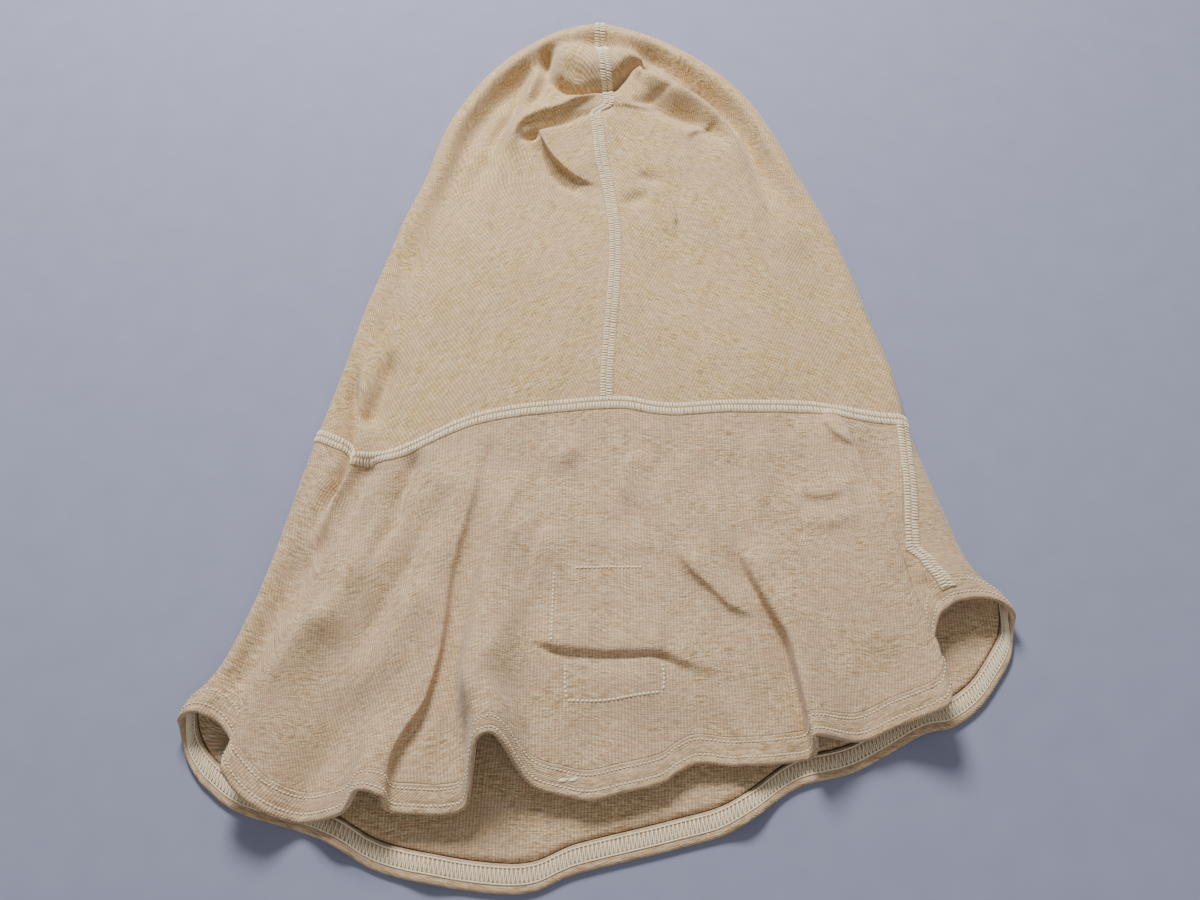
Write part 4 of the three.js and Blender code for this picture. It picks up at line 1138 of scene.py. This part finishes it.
class HOOD_OT_binding(bpy.types.Operator):
    """Add the binding round the face opening on the underside"""

    bl_idname = "hood.add_binding"
    bl_label = "Add Face Binding"

    def execute(self, context):
        around = np.linspace(0, 2 * math.pi, 360, endpoint=False)[:, None]
        section = np.linspace(0, 2 * math.pi, 20, endpoint=False)[None, :]
        width, thick = FACE_BAND
        grow = width / 2 + rounded(np.cos(section), 0.5) * width / 2
        height = thick / 2 + rounded(np.sin(section), 0.7) * thick / 2
        points = np.stack(np.broadcast_arrays(
            FACE_CENTRE[0] + (FACE_HALF[0] + grow) * np.cos(around),
            FACE_CENTRE[1] + (FACE_HALF[1] + grow) * np.sin(around),
            height,
        ), axis=-1)
        mean_radius = sum(FACE_HALF) / 2 + width / 2
        uvs = np.stack(np.broadcast_arrays(around * mean_radius, section * width / math.pi), axis=-1)
        parts = MeshParts()
        add_ring(parts, points[:, ::-1], uvs[:, ::-1])
        piece = parts.make("face_binding", [knit_for("binding")])
        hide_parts("face_opening_band")
        return {"FINISHED"}


SEAM_TOP = 0.012  # shares where the seams begin below the crown and end above the hem
SEAM_FOOT = 0.96
SEAM_REACH = 4.2  # half the width of the strip that a seam is laid on
RIDGE_MARGIN = 0.35  # of the ridge of cloth outside the stitches, on each side
RIDGE_HEIGHT = 0.42
RIDGE_DEPTH = 0.5
RIDGE_STEP = 0.9
COLUMN_GAP = 0.12  # from the middle of a seam to its two columns of stitches
STITCH_JITTER = 0.12  # as a share of the stitch, like the slant
STITCH_SLANT = 0.22
STITCH_ARCH = 0.28  # rise of a cross stitch over the ridge, and its fall to the outer end
STITCH_FALL = 0.25


def seam_lines():
    """The flat seams as names, ways, shares and the direction of their width."""
    head = np.linspace(SEAM_TOP, NECK_SHARE, 400)
    under = np.linspace(SEAM_TOP, NECK_SHARE, 300)
    bib = np.linspace(NECK_SHARE, SEAM_FOOT, 200)
    across = np.linspace(0, 1, 500)
    neck = np.full(500, NECK_SHARE)
    return (
        ("centre_seam", np.full(400, TOP_CENTRE), head, "way"),
        ("front_seam", np.full(300, UNDER_CENTRE), under, "way"),
        ("neck_seam", across, neck, "share"),
        ("front_neck_seam", 1 + across, neck, "share"),
        ("right_side_seam", right_seam_way((bib - NECK_SHARE) / (1 - NECK_SHARE)), bib, "way"),
        ("left_side_seam", np.full(200, 2 + LEFT_SEAM), bib, "way"),
    )


def add_seam(parts, strip, width, pitch):
    """A flat seam: a low ridge of overlapped cloth and a ladder of cross stitches in two columns on it."""
    half = width / 2
    angles = np.linspace(0, 2 * math.pi, 14, endpoint=False)[None, :]
    across = rounded(np.cos(angles), 0.6) * (half + RIDGE_MARGIN)
    height = np.where(np.sin(angles) > 0, RIDGE_HEIGHT, RIDGE_DEPTH) * np.sin(angles)
    along = np.arange(0, strip.length, RIDGE_STEP)[:, None]
    points, _ = strip.at(along, across, height)
    points[..., 2] = np.maximum(points[..., 2], 0)
    uvs = np.stack(np.broadcast_arrays(across, along), axis=-1)
    add_ring(parts, points, uvs, closed_along=False, mark=1)
    count = int(strip.length / pitch)
    start = (np.arange(count) + 0.5) * pitch
    jitter = np.random.default_rng(count).uniform(-STITCH_JITTER, STITCH_JITTER, (2, count)) * pitch
    run = np.linspace(0, 1, 5)
    lift = RIDGE_HEIGHT + STITCH_ARCH * np.sin(math.pi * run) - STITCH_FALL * run
    for column, side in enumerate((-1, 1)):
        crossing = side * (COLUMN_GAP + (half - COLUMN_GAP) * run)
        places = start + column * pitch / 2 + jitter[column]
        slant = side * STITCH_SLANT * pitch * (run - 0.5)
        points, ups = strip.at(places[:, None] + slant[None, :], crossing[None, :], lift[None, :])
        add_threads(parts, points, ups, "ladder")


class HOOD_OT_seams(bpy.types.Operator):
    """Add the flat seams that join the panels"""

    bl_idname = "hood.add_seams"
    bl_label = "Add Flat Seams"

    def execute(self, context):
        seams = settings()[1]
        for name, ways, shares, across in seam_lines():
            parts = MeshParts()
            strip = Strip(ways, shares, SEAM_REACH, across)
            add_seam(parts, strip, seams.seam_width / MM, seams.seam_pitch / MM)
            parts.make(name, [thread_material(), knit_for("head")])
        return {"FINISHED"}


# One stitch of the looper thread, as shares of its length and of the width between the rows: over and back.
LOOP_ALONG = np.array([0.0, 0.12, 0.42, 0.55, 0.72, 1.0])
LOOP_ACROSS = np.array([-1.0, -0.6, 0.7, 1.0, 0.7, -0.8])
LOOP_CLEARANCE = 0.12  # of the zigzag off the inside of the hem
ROW_RUN = np.linspace(-0.1, 1.1, 4)  # of the looper thread along each row, under the zigzag
ROW_CLEARANCE = 0.05
DASH_RUN = np.linspace(0.08, 0.82, 4)  # of the dashes outside, whose ends dip into the cloth
DASH_DIP = np.array([-0.4, 0.05, 0.05, -0.4])
HEM_STRIP = 5.4  # half the width of the strip that the hem's stitches are laid on


class HOOD_OT_hem_stitches(bpy.types.Operator):
    """Add the cover stitch of the hem: two rows of dashes outside and the looped thread inside"""

    bl_idname = "hood.add_hem_stitches"
    bl_label = "Add Hem Stitches"

    def execute(self, context):
        cloth, seams, _ = settings()
        depth = cloth.hem_thickness / MM
        middle = sum(HEM_ROWS) / 2
        half = middle - HEM_ROWS[0]
        ways = np.linspace(LEFT_SEAM, 2 + LEFT_SEAM, 1600)
        strip = Strip(ways, hem_share(ways, middle), HEM_STRIP, "share")
        count = round(strip.length * MM / seams.hem_pitch)
        pitch = strip.length / count
        start = np.arange(count)[:, None] * pitch
        outside, inside = MeshParts(), MeshParts()
        points, ups = strip.at(start + LOOP_ALONG * pitch, LOOP_ACROSS * half, -depth - LOOP_CLEARANCE)
        add_threads(inside, points, -ups, "zigzag", sides=5)
        for row in HEM_ROWS:
            points, ups = strip.at(start + DASH_RUN * pitch, middle - row, DASH_DIP)
            add_threads(outside, points, ups, "dash")
            points, ups = strip.at(start + ROW_RUN * pitch, middle - row, -depth - ROW_CLEARANCE)
            add_threads(inside, points, -ups, "looper", sides=5, end_size=0.8)
        outside.make("hem_stitch_rows", [thread_material()])
        inside.make("hem_loop_threads", [thread_material()])
        return {"FINISHED"}


NEWTON_STEPS = 6


def locate(x, y):
    """Ways and shares of plan points on the upper layer, before folds: the nearest of a grid of places, then
    Newton steps with slopes from small differences."""
    grid = np.meshgrid(np.linspace(0.1, 0.9, 80), np.linspace(0.1, 0.99, 120), indexing="ij")
    places = body_point(*grid)[0].reshape(-1, 3)
    nearest = np.argmin(np.hypot(places[:, :1] - x, places[:, 1:2] - y), axis=0)
    way, share = grid[0].ravel()[nearest], grid[1].ravel()[nearest]
    for _ in range(NEWTON_STEPS):
        here = body_point(way, share)[0]
        by_way = (body_point(way + SMALL, share)[0] - here) / SMALL
        by_share = (body_point(way, share + SMALL)[0] - here) / SMALL
        off_x, off_y = x - here[..., 0], y - here[..., 1]
        area = by_way[..., 0] * by_share[..., 1] - by_way[..., 1] * by_share[..., 0]
        way = way + (off_x * by_share[..., 1] - off_y * by_share[..., 0]) / area
        share = share + (off_y * by_way[..., 0] - off_x * by_way[..., 1]) / area
    return way, share


# Lines of stitching that hold a plain patch inside the bib, and the tack where the hem's stitching ends.
PATCH_LINES = (
    ((-11, 133.5), (2, 134), (21, 134)),
    ((-20, 131), (-21, 115), (-21, 99)),
    ((-15, 88), (-15, 80), (-14, 74)),
    ((-14, 74), (0, 74), (14, 76), (27, 78)),
    ((27, 90), (27.5, 84), (27, 78)),
)
BACK_TACK = ((-17, 41.5), (-11, 41.8), (-5, 42.5))
TACK_SHIFTS = (-0.35, 0.0, 0.35)  # of its rows, one over another
STITCH_LIFT = 0.3  # of the middle of a dash, whose ends sink to the cloth


def stitched_line(parts, points, kind, pitch, gap):
    """Running stitch along a line on the cloth, dashes of pitch less gap."""
    curve = curve_through(points)
    ways, shares = locate(curve[:, 0], curve[:, 1])
    run_x, run_y = np.abs(curve[-1] - curve[0])
    strip = Strip(ways, shares, 1.5, "way" if run_y > run_x else "share", step=0.4)
    count = max(1, int(strip.length / pitch))
    run = np.linspace(0, 1 - gap / pitch, 4)
    dip = np.array([0, STITCH_LIFT, STITCH_LIFT, 0])
    points, ups = strip.at((np.arange(count)[:, None] + run) * pitch, 0.0, dip)
    add_threads(parts, points, ups, kind)


class HOOD_OT_patch_stitches(bpy.types.Operator):
    """Add the stitched outline of the patch inside the bib and the back-tack on the hem"""

    bl_idname = "hood.add_patch_stitches"
    bl_label = "Add Patch Stitches"

    def execute(self, context):
        parts = MeshParts()
        for line in PATCH_LINES:
            stitched_line(parts, line, "patch", pitch=1.9, gap=0.25)
        for shift in TACK_SHIFTS:
            moved = [(x + shift, y + shift) for x, y in BACK_TACK]
            stitched_line(parts, moved, "tack", pitch=4.2, gap=0.3)
        parts.make("patch_stitching", [thread_material()])
        return {"FINISHED"}


FLOOR_HALF = 3.0
SKY = ("#eef1f6", 0.29)  # colour and strength of the even light from all round
LIGHTS = (
    ("name", "place", "size", "power_share"),
    ("key", (-0.2, 0.84, 0.78), 0.36, 1.0),
    ("fill", (0.3, -1.0, 1.1), 1.0, 0.16),
)
CAMERA_AIM = -38.0  # the Y on the floor, in millimetres from the hood's middle, that the camera looks at


def add_object(name, data):
    thing = bpy.data.objects.new(name, data)
    bpy.context.scene.collection.objects.link(thing)
    return thing


class HOOD_OT_stage(bpy.types.Operator):
    """Add the floor, the lights and the camera"""

    bl_idname = "hood.add_stage"
    bl_label = "Add Stage"

    def execute(self, context):
        stage = settings()[2]
        self.floor()
        for row in rows_of(LIGHTS):
            self.light(row["name"], row["place"], row["size"], stage.key_power * row["power_share"])
        world = bpy.data.worlds.new("studio")
        world.use_nodes = True
        background = world.node_tree.nodes["Background"]
        background.inputs["Color"].default_value = linear(SKY[0])
        background.inputs["Strength"].default_value = SKY[1]
        bpy.context.scene.world = world
        self.camera(stage)
        return {"FINISHED"}

    def floor(self):
        mesh = bpy.data.meshes.new("floor")
        corners = [(x * FLOOR_HALF, y * FLOOR_HALF, 0) for x, y in ((-1, -1), (1, -1), (1, 1), (-1, 1))]
        mesh.from_pydata(corners, [], [(0, 1, 2, 3)])
        mesh.materials.append(floor_material())
        floor = add_object("floor", mesh)

    def light(self, name, place, size, power):
        """A round light that faces the middle of the floor."""
        data = bpy.data.lights.new(name, "AREA")
        data.shape = "DISK"
        data.size = size
        data.energy = power
        light = add_object(name, data)
        light.location = place
        x, y, z = place
        light.rotation_euler = (math.acos(z / math.hypot(x, y, z)), 0, math.atan2(-x, y) + math.pi)

    def camera(self, stage):
        """The camera looks at the floor a little below the middle of the hood, tilted from straight down."""
        data = bpy.data.cameras.new("camera")
        data.sensor_width = 36.0
        data.lens = stage.lens
        camera = add_object("camera", data)
        back, up = stage.distance * math.sin(stage.tilt), stage.distance * math.cos(stage.tilt)
        camera.location = (-CENTRE[0] * MM, CAMERA_AIM * MM - back, up)
        camera.rotation_euler = (stage.tilt, 0, 0)
        bpy.context.scene.camera = camera


OPERATORS = (
    HOOD_OT_stage, HOOD_OT_head, HOOD_OT_bib, HOOD_OT_hem, HOOD_OT_binding,
    HOOD_OT_seams, HOOD_OT_hem_stitches, HOOD_OT_patch_stitches,
)


class HOOD_PT_panel(bpy.types.Panel):
    """Lists the steps that build the hood"""

    bl_idname = "HOOD_PT_panel"
    bl_label = "Anti-Flash Hood"
    bl_space_type = "VIEW_3D"
    bl_region_type = "UI"
    bl_category = "Hood"

    def draw(self, context):
        for operator in OPERATORS:
            self.layout.operator(operator.bl_idname)


GROUPS = (
    ("hood_cloth", HoodClothSettings), ("hood_seams", HoodSeamSettings), ("hood_stage", HoodStageSettings),
)


def register():
    for name, group in GROUPS:
        bpy.utils.register_class(group)
        setattr(bpy.types.Scene, name, bpy.props.PointerProperty(type=group))
    for kind in (*OPERATORS, HOOD_PT_panel):
        bpy.utils.register_class(kind)


def unregister():
    for kind in (HOOD_PT_panel, *OPERATORS[::-1]):
        bpy.utils.unregister_class(kind)
    for name, group in GROUPS[::-1]:
        delattr(bpy.types.Scene, name)
        bpy.utils.unregister_class(group)


def main():
    register()
    for operator in OPERATORS:
        getattr(bpy.ops.hood, operator.bl_idname.split(".")[1])()


if __name__ == "__main__":
    main()
